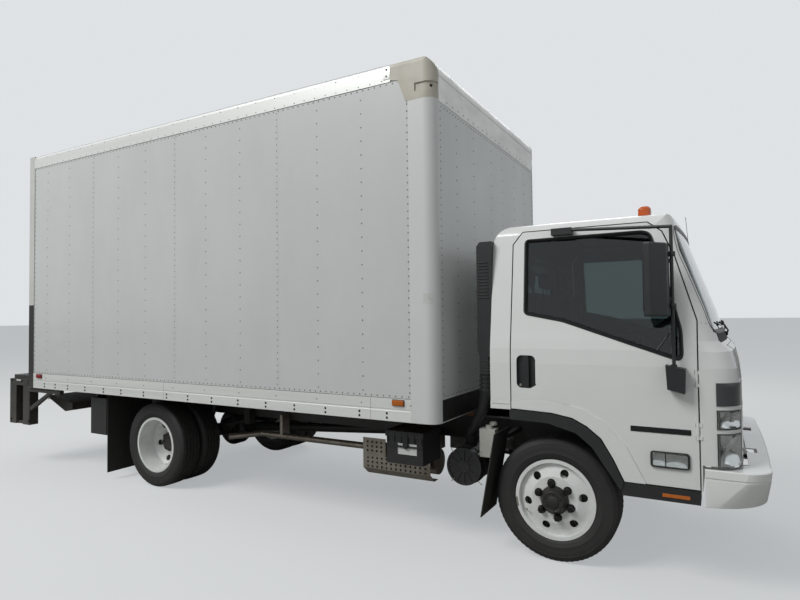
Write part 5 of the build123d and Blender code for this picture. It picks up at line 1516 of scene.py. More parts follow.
@dataclass
class Gate:
    """The lift gate's small parts: tread marks, bolts, blank labels and a hook."""

    deck: tuple[float, float] = (-6136.0, -5722.0)
    deck_half: float = 1140.0
    deck_top: float = 998.0
    mark_columns: int = 66
    mark_pitch: float = 34.4
    mark_turn: float = 0.785
    bolts: Profile = (
        (-5760, 940), (-5900, 940), (-6100, 940), (-6110, 500), (-5750, 500), (-5600, 930),
        (-5450, 930), (-5250, 930),
    )
    # The hook's bend by X and Z, and its place across the truck.
    hook: Profile = (
        (-5566, 800), (-5566, 770), (-5560, 752), (-5545, 742), (-5530, 748), (-5526, 762)
    )
    hook_y: float = -1092.0

    def build(self) -> None:
        """Dresses the deck, the step frames, the arms and the folded platform."""
        self.add_treads()
        bolts, labels = Former(), Former()
        frames = "step_frames lift_deck"
        for hand in HANDS:
            for place in self.bolts:
                foot = Skin(hand.side, frames).hit(*place)
                if foot and abs(foot.y) > 900:
                    bolts.bolt(foot, hand.out, 11, 8, 15)
        bolts.piece("gate_bolts", "chassis", BLACK_FASTENER, "gate_black", 0.5)
        for ends in ((-6008, -5912), (-5798, -5732)):
            Skin(Side.RIGHT, frames).patch(labels, ends, (936, 952), 0.8, (3, 2))
        if labels.faces:
            labels.piece("gate_labels_blank", "chassis", LABEL_FILM, "gate_black")
        hook = Former().tube([(x, self.hook_y, z) for x, z in self.hook], 4.5, 8)
        eye = ((0, -3), (16, -3), (16, 3), (0, 3))
        hook.turned(eye, (self.hook[0][0], self.hook_y, 803), (0, 1, 0), 16)
        hook.block(-5580, -5552, self.hook_y - 4, self.hook_y + 22, 796, 880)
        hook.piece("gate_stay_hook", "chassis", ZINC_PLATE, "gate_black")

    def add_treads(self) -> None:
        """Adds the deck's crossed tread marks, and the folded platform's round ones."""
        tread, (rear, front) = Former(), self.deck
        for row, along in enumerate(between(rear + 16, front - 16, 13)):
            first = 18 - self.deck_half + (17 if row % 2 else 0)
            for column, across in enumerate(stepped(first, self.mark_pitch, self.mark_columns)):
                turn = self.mark_turn if (row + column) % 2 else -self.mark_turn
                out = Vector((math.cos(turn), math.sin(turn), 0)) * 13
                side = Vector((-math.sin(turn), math.cos(turn), 0)) * 3.6
                place = Vector((along, across, self.deck_top))
                low = [place + out, place + side, place - out, place - side]
                tread.loft([low, [p.lerp(place, 0.35) + Vector((0, 0, 1.8)) for p in low]])
        tread.piece("deck_tread_marks", "chassis", GATE_ENAMEL, "gate_black", smooth=20)
        marks = Former()
        low, high = ((v - ORIGIN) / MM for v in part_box("lift_platform"))
        plate = Skin(Side.TOP, "lift_platform", high.z + 200)
        for along in between(low.x + 60, high.x - 60, 9):
            for across in between(-900, 900, 19):
                foot = plate.hit(along, across)
                if foot and foot.z > high.z - 60:
                    marks.dome(foot, (0, 0, 1), 9, 2.2, 4)
        if marks.faces:
            name = "platform_tread_marks"
            marks.piece(name, "lift_platform", GATE_ENAMEL, "gate_black", smooth=20)


@dataclass
class Chassis:
    """Small running gear: U-bolts, shock absorbers, brake cans, clips, caps and labels."""

    # Each axle's X, its U-bolts' step, inner and outer Y, and bottom and top.
    springs: tuple[tuple[float, ...], ...] = (
        (0, 48, 350, 430, 338, 498), (REAR_AXLE_MM, 72, 428, 516, 330, 535)
    )
    damper: Profile = ((0, 0), (27, 0), (29, 6), (29, 190), (24, 196), (0, 196))
    damper_eye: Profile = ((0, -24), (19, -24), (19, 24), (0, 24))
    can: Profile = (
        (0, 0), (40, 0), (62, 18), (62, 60), (68, 62), (68, 74), (62, 76), (62, 118), (40, 132),
        (0, 132),
    )
    coolant_cap: Profile = ((0, 0), (24, 0), (26, 4), (26, 20), (22, 25), (0, 25))
    cap_foot: tuple[float, float, float] = (-452, -830, 834)
    fuel_cap: Profile = ((0, 0), (44, 0), (47, 5), (47, 30), (40, 36), (0, 36))
    cleaner: tuple[float, float, float] = (-602, -972, 560)

    def build(self) -> None:
        """Adds the running gear's small parts on the chassis."""
        self.add_springs()
        self.add_battery()
        self.add_tanks()
        self.add_snorkel()

    def add_springs(self) -> None:
        """Adds U-bolts, shock absorbers and brake cans."""
        bolts, shocks, cans = Former(), Former(), Former()
        for centre, step, inner, outer, low, high in self.springs:
            for hand in HANDS:
                for along in (centre - step, centre + step):
                    bow = [(inner, low), (inner, high), (outer, high), (outer, low)]
                    path = [bow[0], *rounded(bow, 14, 4)[5:15], bow[3]]
                    bolts.tube([hand.at(along, *p) for p in path], 8, 8)
                    for across in (inner, outer):
                        bolts.bolt(hand.at(along, across, low + 16), (0, 0, -1), 14, 12, 17)
                foot, head = hand.at(centre + 95, 540, 400), hand.at(centre + 190, 458, 770)
                way, run = (head - foot).normalized(), (head - foot).length
                shocks.turned(self.damper, foot, way, 20)
                sleeve = ((0, 190), (35, 190), (35, run - 20), (28, run), (0, run))
                shocks.turned(sleeve, foot, way, 20)
                for end in (foot, head):
                    shocks.turned(self.damper_eye, end, (0, 1, 0), 16)
        for hand in HANDS:
            place = hand.at(REAR_AXLE_MM, 330, 470)
            cans.turned(self.can, place + Vector((150, 0, 0)), (0.9, 0, 0.35), 28)
            cans.block(place.x + 40, place.x + 170, place.y - 20, place.y + 20, 430, 470)
        bolts.piece("spring_u_bolts", "chassis", BLACK_FASTENER, "cast_black")
        shocks.piece("shock_absorbers", "chassis", CHASSIS_ENAMEL, "chassis_black", 1)
        cans.piece("brake_cans", "chassis", CAST_IRON, "cast_black", 1)

    def add_battery(self) -> None:
        """Adds the battery box's blank labels, the ribs of its lid and its latch."""
        box = Skin(Side.RIGHT, "battery_box")
        latch, labels, lid = Former(), Former(), Former()
        for ends, ups in (
            ((-1095, -941), (616, 665)), ((-1095, -1046), (679, 695)), ((-1004, -941), (679, 695))
        ):
            box.patch(labels, ends, ups, 0.8, (3, 2))
        labels.piece("battery_labels_blank", "chassis", LABEL_FILM, "black_plastic")
        lid.block(-1192, -890, -1091, -1086, 667, 673)
        for along in between(-1180, -902, 6):
            lid.block(along - 4, along + 4, -1090.5, -1086, 700, 772)
        lid.block(-1196, -886, -1092, -1086, 772, 781)
        lid.piece("battery_lid_ribs", "chassis", GRAINED_PLASTIC, "black_plastic", 1)
        latch.block(-1040, -1010, -1095, -1088.5, 660, 780)
        latch.block(-1046, -1004, -1098, -1093, 668, 700)
        latch.tube([(-1042, -1100, 684), (-1008, -1100, 684)], 4, 8)
        latch.piece("battery_latch", "chassis", SEAL_RUBBER, "black_plastic", 1)

    def add_tanks(self) -> None:
        """Adds the coolant and fuel caps, the air cleaner's clips and painted shade on the exhaust
        shield.
        """
        foot = Vector(self.cap_foot)
        cap = Former().turned(self.coolant_cap, foot, (0, 0, 1), 24)
        for out in circle(Vector((26, 0, 0)), Vector((0, 26, 0)), 12):
            cap.tube([foot + out + Vector((0, 0, up)) for up in (5, 19)], 1.8, 6)
        cap.piece("coolant_tank_cap", "chassis", MILKY_PLASTIC, "tank_plastic", 0.8)
        neck = Former().turned(self.fuel_cap, (-1600, 1018, 640), (0.1, 1, 0.25), 28)
        neck.block(-1640, -1560, 1000, 1020, 600, 680)
        neck.piece("fuel_cap", "chassis", GRAINED_PLASTIC, "black_plastic", 2)
        clips = Former()
        for turn in (45, 135, 225, 315):
            way = spoke(turn)
            foot = Vector(self.cleaner) + way * 158
            bend = foot + Vector((0, -14, 0))
            path = [foot, bend, bend - way * 26, foot - way * 30 + Vector((0, -4, 0))]
            clips.tube(path, 3, 6)
        clips.piece("air_cleaner_clips", "chassis", ZINC_PLATE, "black_plastic")
        # Near-black blocks on the exhaust shield: painted shade.
        lining = Former()
        for front, low, high in ((-938, 434, 538), (-1328, 538, 660)):
            lining.block(-1500, front, -893, -890, low, high)
        lining.piece("shield_painted_shade", "chassis", GAP_SHADE, "exhaust_steel")

    def add_snorkel(self) -> None:
        """Adds the air snorkel's louvres."""
        fins, slat = Former(), ((-979, -6), (-985, -3), (-985, 1), (-979, 6))
        for up in between(1740, 1985, 12):
            fins.loft([[(x, y, up + z) for y, z in slat] for x in (-494, -418)])
        for up in between(1216, 1300, 5):
            fins.block(-484, -398, -984, -893, up - 4, up + 4)
        fins.piece("snorkel_louvres", "cab", GRAINED_PLASTIC, "black_plastic", 1)


@dataclass
class Door:
    """What is fixed to one cab door: seal, lamp, strip, lock, mirror and inner panel."""

    hand: Hand
    window: Profile = (
        (-165, 2120), (-160, 1627), (90, 1578), (400, 1470), (760, 1346), (777, 1373),
        (772, 1520), (690, 1850), (610, 2105), (570, 2124),
    )
    lamp: tuple[float, float, float, float] = (594, 805, 714, 809)
    lamp_divide: float = 677.0
    lamp_rim: Profile = ((0, -1), (1, 12), (5, 15), (13, 14), (15, 3), (15, -1))
    strip: tuple[float, float, float, float] = (488, 814, 914, 946)
    strip_levels: Profile = ((0, -1), (0, 2.2), (1, 3))
    lock: Profile = ((0, -1), (10, -1), (10, 3), (8, 4.5), (0, 4.5))
    mirror: tuple[float, float, float, float] = (1108, 1242, 1636, 1984)
    mirror_rim: Profile = ((0, -1), (0, 3), (3, 4.5), (8, 3), (8, -1))
    clamp: Profile = ((0, -14), (19, -14), (21, -11), (21, 11), (19, 14), (0, 14))
    low_clamp: Profile = ((0, -12), (17, -12), (17, 12), (0, 12))
    stay: tuple[float, float] = (737, 1090)
    card: Profile = (
        (-200, 1010), (300, 1010), (430, 900), (560, 700), (800, 700), (800, 1290),
        (400, 1420), (-200, 1530),
    )
    card_middle: tuple[float, float] = (260, 1150)
    rest_section: Profile = ((-2, 0), (46, 6), (56, 22), (50, 40), (-2, 46))
    # The armrest's X, the share of its section and its rise, from rear to front.
    rest: tuple[tuple[float, float, float], ...] = (
        (-120, 0.4, -8), (-90, 0.9, 0), (150, 1, 10), (330, 0.9, 26), (380, 0.4, 30)
    )

    def build(self) -> None:
        """Dresses the door."""
        hand, black = self.hand, "black_plastic"
        body = hand.named("door")
        metal, pane = Skin(hand.side, body), Skin(hand.side, hand.named("door_glass"))
        name = hand.named("door_window_seal")
        Seal(name, body, self.window, metal, pane, 9, 14, 2.5, 26).build()
        bar, plate = Former(), Former()
        pane.line(bar, [(640, 1396), (712, 1503)], 5, 1.0)
        bar.piece(hand.named("quarter_light_bar"), body, SEAL_RUBBER, black)
        self.add_lamp(body, metal)
        metal.plate(plate, oblong(*self.strip, 3), self.strip_levels)
        plate.piece(hand.named("door_strip_blank"), body, GAUGE_FACE, black, smooth=40)
        foot = Skin(hand.side, f"{hand.named('handle')} {body}").hit(-192, 1152)
        if foot:
            lock = Former().turned(self.lock, foot, hand.out, 20)
            lock.piece(hand.named("door_lock_barrel"), body, ZINC_PLATE, black)
        self.add_mirror(body)
        self.add_card(body)

    def add_lamp(self, body: str, metal: Skin) -> None:
        """Adds the turn lamp low on the door: a black rim, a bright bowl and its clear lens.

        Args:
            body: the door's body.
            metal: the door's outer faces.
        """
        rim, bowl, lens = Former(), Former(), Former()
        x0, x1, z0, z1 = self.lamp
        split = self.lamp_divide
        metal.plate(rim, oblong(*self.lamp, 20), self.lamp_rim, True)
        metal.patch(rim, (split - 3, split + 3), (z0 + 10, z1 - 10), 13, (2, 4))
        rim.piece(self.hand.named("turn_lamp_rim"), body, GRAINED_PLASTIC, "black_plastic", 0.6)
        for low, high in ((x0 + 13, split - 2), (split + 2, x1 - 13)):
            grid = []
            for j, up in enumerate(between(z0 + 13, z1 - 13, 9)):
                row = []
                for i, along in enumerate(between(low, high, 13)):
                    dip = math.sin(math.pi * i / 12) * math.sin(math.pi * j / 8)
                    proud = 7.5 - 5.5 * dip + 0.5 * (i % 2)
                    row.append(metal.hit(along, up) - metal.way * proud)
                grid.append(row)
            bowl.sheet(grid, metal.way * 0.8)
        name = self.hand.named("turn_lamp_bowl")
        bowl.piece(name, body, REFLECTOR, "lamp_clear", smooth=20)
        outline = oblong(x0 + 12, x1 - 12, z0 + 12, z1 - 12, 12)
        metal.plate(lens, outline, ((0, 9), (0, 12), (3, 13.2)))
        name = self.hand.named("turn_lamp_lens")
        lens.piece(name, body, CLEAR_LENS, "lamp_clear", smooth=40)

    def add_mirror(self, body: str) -> None:
        """Adds the mirror's silvered glass, its rim and the stays' clamps.

        Args:
            body: the door's body.
        """
        hand = self.hand
        head = Skin(Side.REAR, hand.named("mirror"), 900)
        glass, rim, clamps = Former(), Former(), Former()
        near, far, foot, top = self.mirror
        low, high = sorted((hand.sign * near, hand.sign * far))
        outline = oblong(low - 8, high + 8, foot - 8, top + 8, 22)
        head.plate(rim, outline, self.mirror_rim, True)
        head.plate(glass, oblong(low, high, foot, top, 18), ((0, -0.5), (0, 1.2), (1, 1.6)))
        glass.piece(hand.named("mirror_glass"), body, SILVERED_GLASS, "glass", smooth=40)
        rim.piece(hand.named("mirror_rim"), body, GRAINED_PLASTIC, "black_plastic", 0.6)
        for up, profile in ((1660, self.clamp), (1960, self.clamp), (1312, self.low_clamp)):
            clamps.turned(profile, hand.at(*self.stay, up), (0, 0, 1), 20)
        clamps.piece(hand.named("mirror_clamps"), body, GRAINED_PLASTIC, "black_plastic", 1)

    def add_card(self, body: str) -> None:
        """Adds the door's inner panel and its armrest.

        Args:
            body: the door's body.
        """
        hand = self.hand
        inner = min(abs(corner.y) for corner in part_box(body)) / MM
        outline = rounded(list(self.card), 40, 4)
        x, z = self.card_middle
        card = Former().loft([
            [
                hand.at(p.x * (1 - cut) + x * cut, inner - lift, p.y * (1 - cut) + z * cut)
                for p in outline
            ]
            for cut, lift in ((0, -2), (0, 4), (0.02, 8))
        ])
        card.piece(hand.named("door_card"), body, DASH_PLASTIC, "dash_plastic", smooth=40)
        rest = Former().loft([
            [
                hand.at(along, inner - 6 - run * share, 1240 + rise + up * share)
                for run, up in self.rest_section
            ]
            for along, share, rise in self.rest
        ])
        rest.piece(hand.named("door_armrest"), body, DASH_PLASTIC, "dash_plastic", 3)


@dataclass
class Cab:
    """The cab's outer trim: glass seals, wipers, cowl, lamps, seams, step and aerial."""

    screen: Profile = (
        (-935, 1505), (935, 1505), (905, 2000), (865, 2150), (-865, 2150), (-905, 2000)
    )
    rear_window: Profile = ((-560, 1560), (560, 1560), (560, 1960), (-560, 1960))
    lamp_centre: tuple[float, float] = (850.0, 850.0)
    lens_rows: Profile = ((745, 935), (957, 1067))
    bulb: Profile = ((0, 0), (9, 0), (11, 4), (11, 12), (8, 17), (3, 19), (0, 19))
    # Each wiper's pivot and the ends of its blade, across the screen.
    wipers: tuple[tuple[float, float, float], ...] = ((-60, -160, -700), (600, 540, 0))
    wiper_boss: Profile = ((0, -2), (17, -2), (17, 10), (12, 16), (0, 17))
    # Half of the nose's seam, across and up.
    nose: Profile = ((800, 1425), (700, 1395), (668, 1330), (664, 1030))
    roof_lamps: tuple[float, ...] = (-750, -180, 0, 180, 750)
    gasket: Profile = ((36, -3), (46, -3), (46, 2), (43, 4), (36, 4))
    aerial: Profile = ((0, -4), (15, -4), (14, 6), (7, 20), (4, 34), (0, 34))

    def build(self) -> None:
        """Dresses the outside of the cab."""
        self.add_glass_trim()
        self.add_wipers()
        self.add_seams()
        self.add_headlamps()
        self.add_roof()

    def add_glass_trim(self) -> None:
        """Adds the windows' seals, the cowl's air intake and the step's reflectors."""
        shell, panes = (Skin(Side.FRONT, node) for node in ("cab_shell", "cab_windows"))
        Seal("windscreen_seal", "cab", self.screen, shell, panes, 13, 15).build()
        rear = [Skin(Side.REAR, node, 650) for node in ("cab_shell", "cab_windows")]
        Seal("rear_window_seal", "cab", self.rear_window, *rear, 12, 14).build()
        cowl, slots, shine = Former(), Former(), Former()
        shell.patch(cowl, (-905, 905), (1446, 1492), 2.5, (40, 3))
        cowl.piece("cowl_panel", "cab", COWL_PLASTIC, "black_plastic", 1)
        # Near-black patches over the cowl's slots: painted shade in the slots.
        for across in between(-780, 780, 40):
            shell.patch(slots, (across - 13, across + 13), (1460, 1468), 3.4, (2, 2))
        slots.piece("cowl_slot_shade", "cab", GAP_SHADE, "black_plastic")
        for hand in HANDS:
            step = Skin(hand.side, "arch_trims cab_shell")
            step.patch(shine, (655, 800), (546, 566), 2.5, (8, 2))
        shine.piece("step_reflectors", "cab", STEP_REFLECTOR, "lamp_amber", 0.6)

    def on_screen(self, across: float, up: float, lift: float) -> Vector:
        """A point over the windscreen or the metal below it.

        Args:
            across: its Y.
            up: its Z.
            lift: how far it stands out.

        Returns:
            The point.
        """
        skins = (Skin(Side.FRONT, node) for node in ("cab_windows", "cab_shell"))
        found = [p for p in (skin.hit(across, up) for skin in skins) if p]
        return max(found, key=lambda p: p.x) + Vector((lift, 0, lift * 0.3))

    def add_wipers(self) -> None:
        """Adds two parked wipers, each a sprung arm, a bridge and a blade."""
        arms, blades = Former(), Former()
        for pivot, near, far in self.wipers:
            base, hold = self.on_screen(pivot, 1470, 0), (near + far) / 2
            arms.turned(self.wiper_boss, base, (1, 0, 0.5), 20)
            reach = hold - pivot
            path = [base + Vector((12, 0, 3)), self.on_screen(pivot + reach * 0.3, 1490, 24)]
            path += [self.on_screen(pivot + reach * 0.7, 1522, 24), self.on_screen(hold, 1548, 19)]
            arms.tube(along_line(path, 60), 5.5, 8)
            ends = [(near, 1532), (hold, 1546), (far, 1560)]
            line = [self.on_screen(*p, 8) for p in along_line(ends, 50)]
            blades.tube(line, 4.2, 6)
            blades.tube([p + Vector((7, 0, 2)) for p in line[2:-2]], 3, 6)
            x = line[len(line) // 2].x
            blades.block(x, x + 16, hold - 22, hold + 22, 1540, 1556)
        arms.piece("wiper_arms", "cab", BLACK_FASTENER, "black_plastic")
        blades.piece("wiper_blades", "cab", SEAL_RUBBER, "black_plastic")

    def add_seams(self) -> None:
        """Adds painted shade lines along the panel seams of the nose, the pillars and the roof
        gutter.
        """
        form, shell = Former(), Skin(Side.FRONT, "cab_shell")
        for half, up in (self.nose[0], self.nose[-1]):
            shell.line(form, [(-half, up), (half, up)], 1.5)
        for hand in HANDS:
            shell.line(form, [(hand.sign * across, up) for across, up in self.nose], 1.5)
            flank = Skin(hand.side, "cab_shell")
            flank.line(form, [(873, 1560), (905, 1556), (935, 1552)], 1.3)
            flank.line(form, [(-380, 1024), (-262, 1024)], 1.1)
        form.piece("cab_panel_seams", "cab", GAP_SHADE, "cab_white")

    def add_headlamps(self) -> None:
        """Adds a bright bowl and bulbs inside each clear lens."""
        bowls, bulbs = Former(), Former()
        for hand in HANDS:
            for low, high in self.lens_rows:
                grid = []
                for j, up in enumerate(between(low + 9, high - 9, 13)):
                    row = []
                    for i, turn in enumerate(between(-56, 24, 33)):
                        foot, way = self.on_lens(hand, turn, up)
                        near = abs(math.sin(math.pi * i / 16)) * math.sin(math.pi * j / 12)
                        row.append(foot and foot - way * (17 + 12 * near))
                    if None not in row:
                        grid.append(row)
                if len(grid) > 1:
                    axis = hand.at(*self.lamp_centre, 0)
                    bowls.sheet(grid, -(grid[0][10] - axis).normalized() * 0.8)
                for turn in (-36, 4):
                    foot, way = self.on_lens(hand, turn, (low + high) / 2)
                    if foot:
                        bulbs.turned(self.bulb, foot - way * 27, way, 20)
        bowls.piece("headlamp_bowls", "cab", REFLECTOR, "lamp_clear", smooth=24)
        bulbs.piece("headlamp_bulbs", "cab", MILKY_PLASTIC, "lamp_clear")

    def on_lens(self, hand: Hand, turn: float, up: float) -> tuple[Vector | None, Vector]:
        """Looks at a headlamp's lens from outside, towards the lamp's upright axis.

        Args:
            hand: the side of the lamp.
            turn: the angle out from the front, in degrees.
            up: Z of the line of sight.

        Returns:
            Where it meets the lens, if it does, and the way out from the axis.
        """
        angle = math.radians(turn)
        way = hand.at(math.cos(angle), -math.sin(angle), 0)
        start = hand.at(*self.lamp_centre, up) + way * 600
        return faces_of("headlamps").ray_cast(start, -way)[0], way

    def add_roof(self) -> None:
        """Adds the aerial and a gasket under each roof lamp."""
        pads, roof, upright = Former(), Skin(Side.TOP, "cab_shell", 3000), (0, 0, 1)
        for foot in (roof.hit(566, across) for across in self.roof_lamps):
            if foot:
                pads.turned(self.gasket, foot, upright, 28)
        pads.piece("roof_lamp_gaskets", "cab", SEAL_RUBBER, "black_plastic", smooth=50)
        foot = roof.hit(757, 900) or roof.hit(740, 870)
        if foot:
            aerial = Former().turned(self.aerial, foot, upright, 20)
            rod = [foot + Vector(step) for step in ((0, 0, 30), (-12, 0, 230), (-26, 0, 430))]
            aerial.tube(rod, 2.2, 6)
            aerial.piece("roof_aerial", "cab", GRAINED_PLASTIC, "black_plastic")


@dataclass
class Cushion:
    """A seat pad: a block with pulled-in sides that swells as cloth does."""

    name: str
    low: tuple[float, float, float]
    high: tuple[float, float, float]
    lean: float = 0.0
    inset_mm: float = 9.0
    fill: float = 0.7
    pressure: float = 4.0
    cap_mm: float = 14.0
    voxel_mm: float = 14.0
    frames: int = 20
    # How high a ring lies and how far its sides are pulled in.
    rings: Profile = ((0.0, 22), (0.18, 4), (0.5, 0), (0.82, 4), (1.0, 22))

    def build(self) -> bpy.types.Object:
        """Returns:
            The pad.
        """
        (x0, y0, z0), (x1, y1, z1) = self.low, self.high
        rings = []
        for share, cut in self.rings:
            inset = cut + self.inset_mm
            up = min(max(z0 + (z1 - z0) * share, z0 + self.inset_mm), z1 - self.inset_mm)
            outline = oblong(x0 + inset, x1 - inset, y0 + inset, y1 - inset, 45, 5)
            rings.append([(p.x + self.lean * share, p.y, up) for p in outline])
        form = Former().loft(rings)
        pad = form.piece(self.name, "cab", SEAT_CLOTH, "seat_cloth", smooth=80)
        self.swell(pad)
        return pad

    def swell(self, pad: bpy.types.Object) -> None:
        """Remeshes the pad and blows it up as cloth, with no point moved further than the cap.

        Args:
            pad: the pad's object.
        """
        bpy.context.view_layer.update()
        remesh = pad.modifiers.new("even_faces", "REMESH")
        remesh.mode = "VOXEL"
        remesh.voxel_size = self.voxel_mm * MM
        self.settle(pad)
        before = [v.co.copy() for v in pad.data.vertices]
        cloth = pad.modifiers.new("swell", "CLOTH")
        cloth.settings.use_pressure = True
        cloth.settings.uniform_pressure_force = self.pressure
        cloth.settings.effector_weights.gravity = 0
        scene = bpy.context.scene
        for step in range(1, self.frames + 1):
            scene.frame_set(step)
        shaped = pad.evaluated_get(bpy.context.evaluated_depsgraph_get()).data
        cap = self.cap_mm * MM
        moved = []
        for old, new in zip(before, shaped.vertices):
            step = new.co - old
            moved.append(old + step * min(1.0, cap / max(step.length, 1e-9)))
        pad.modifiers.remove(cloth)
        scene.frame_set(1)
        for vertex, place in zip(pad.data.vertices, moved):
            vertex.co = place
        smooth = pad.modifiers.new("fine", "SUBSURF")
        smooth.levels = smooth.render_levels = 1
        self.settle(pad)
        pad.data.polygons.foreach_set("use_smooth", [True] * len(pad.data.polygons))

    def settle(self, pad: bpy.types.Object) -> None:
        """Makes the pad's modifiers part of its mesh.

        Args:
            pad: the pad's object.
        """
        graph = bpy.context.evaluated_depsgraph_get()
        graph.update()
        mesh = bpy.data.meshes.new_from_object(pad.evaluated_get(graph))
        pad.modifiers.clear()
        old, name = pad.data, pad.data.name
        pad.data = mesh
        bpy.data.meshes.remove(old)
        mesh.name = name


@dataclass
class Seat:
    """One place to sit: its pads, frame and belt."""

    number: str
    y0: float
    y1: float
    plinth: tuple[float, float, float, float] = (-265, 262, 1041, 1172)
    hinge: Profile = ((0, -6), (42, -6), (42, 6), (0, 6))
    # The belt's path by X and Z, from over the shoulder to the seat.
    belt: Profile = (
        (-255, 1880), (-150, 1800), (-128, 1600), (-122, 1400), (-118, 1310), (-60, 1296)
    )
    belt_section: Profile = ((0, -24), (0, 24), (2.5, 24), (2.5, -24))

    @property
    def middle_y(self) -> float:
        """The seat's middle across the truck."""
        return (self.y0 + self.y1) / 2

    def build(self) -> bpy.types.Object:
        """Adds the seat.

        Returns:
            Its lower pad.
        """
        number, y0, y1, mid = self.number, self.y0, self.y1, self.middle_y
        base = Cushion(f"seat_base_{number}", (-180, y0, 1165), (272, y1, 1288)).build()
        Cushion(f"seat_back_{number}", (-262, y0, 1275), (-142, y1, 1800), -44).build()
        ends = (-300, mid - 125, 1815), (-205, mid + 125, 1965)
        Cushion(f"headrest_{number}", *ends, -8, 6).build()
        self.add_frame()
        self.add_belt()
        return base

    def add_frame(self) -> None:
        """Adds the plinth, the back's frame and hinges, and the headrest's posts."""
        y0, y1, (rear, front, foot, top) = self.y0, self.y1, self.plinth
        form = Former().block(rear, front, y0 + 14, y1 - 14, foot, top)
        form.block(-286, -250, y0 + 20, y1 - 20, 1180, 1760)
        for across in (self.middle_y - 55, self.middle_y + 55):
            form.tube([(-262, across, 1740), (-268, across, 1850)], 6, 8)
        for across in (y0 + 4, y1 - 4):
            form.turned(self.hinge, (-205, across, 1262), (0, 1, 0), 24)
        form.piece(f"seat_frame_{self.number}", "cab", DASH_PLASTIC, "dash_plastic", 4)

    def add_belt(self) -> None:
        """Adds a belt that hangs against the seat's back, and its buckle."""
        outer, inner = self.y0 + 40, self.y1 - 30
        if self.y1 > 0:
            outer, inner = self.y1 - 40, self.y0 + 30
        path = along_line([(x, outer, z) for x, z in self.belt], 60)
        belt = Former().loft([
            [(p.x + thick, p.y + wide, p.z + thick * 0.3) for thick, wide in self.belt_section]
            for p in path
        ])
        belt.piece(f"seat_belt_{self.number}", "cab", WEBBING, "seat_cloth")
        buckle = Former().block(-128, -104, inner - 16, inner + 16, 1290, 1370)
        buckle.piece(f"belt_buckle_{self.number}", "cab", DASH_PLASTIC, "dash_plastic", 4)


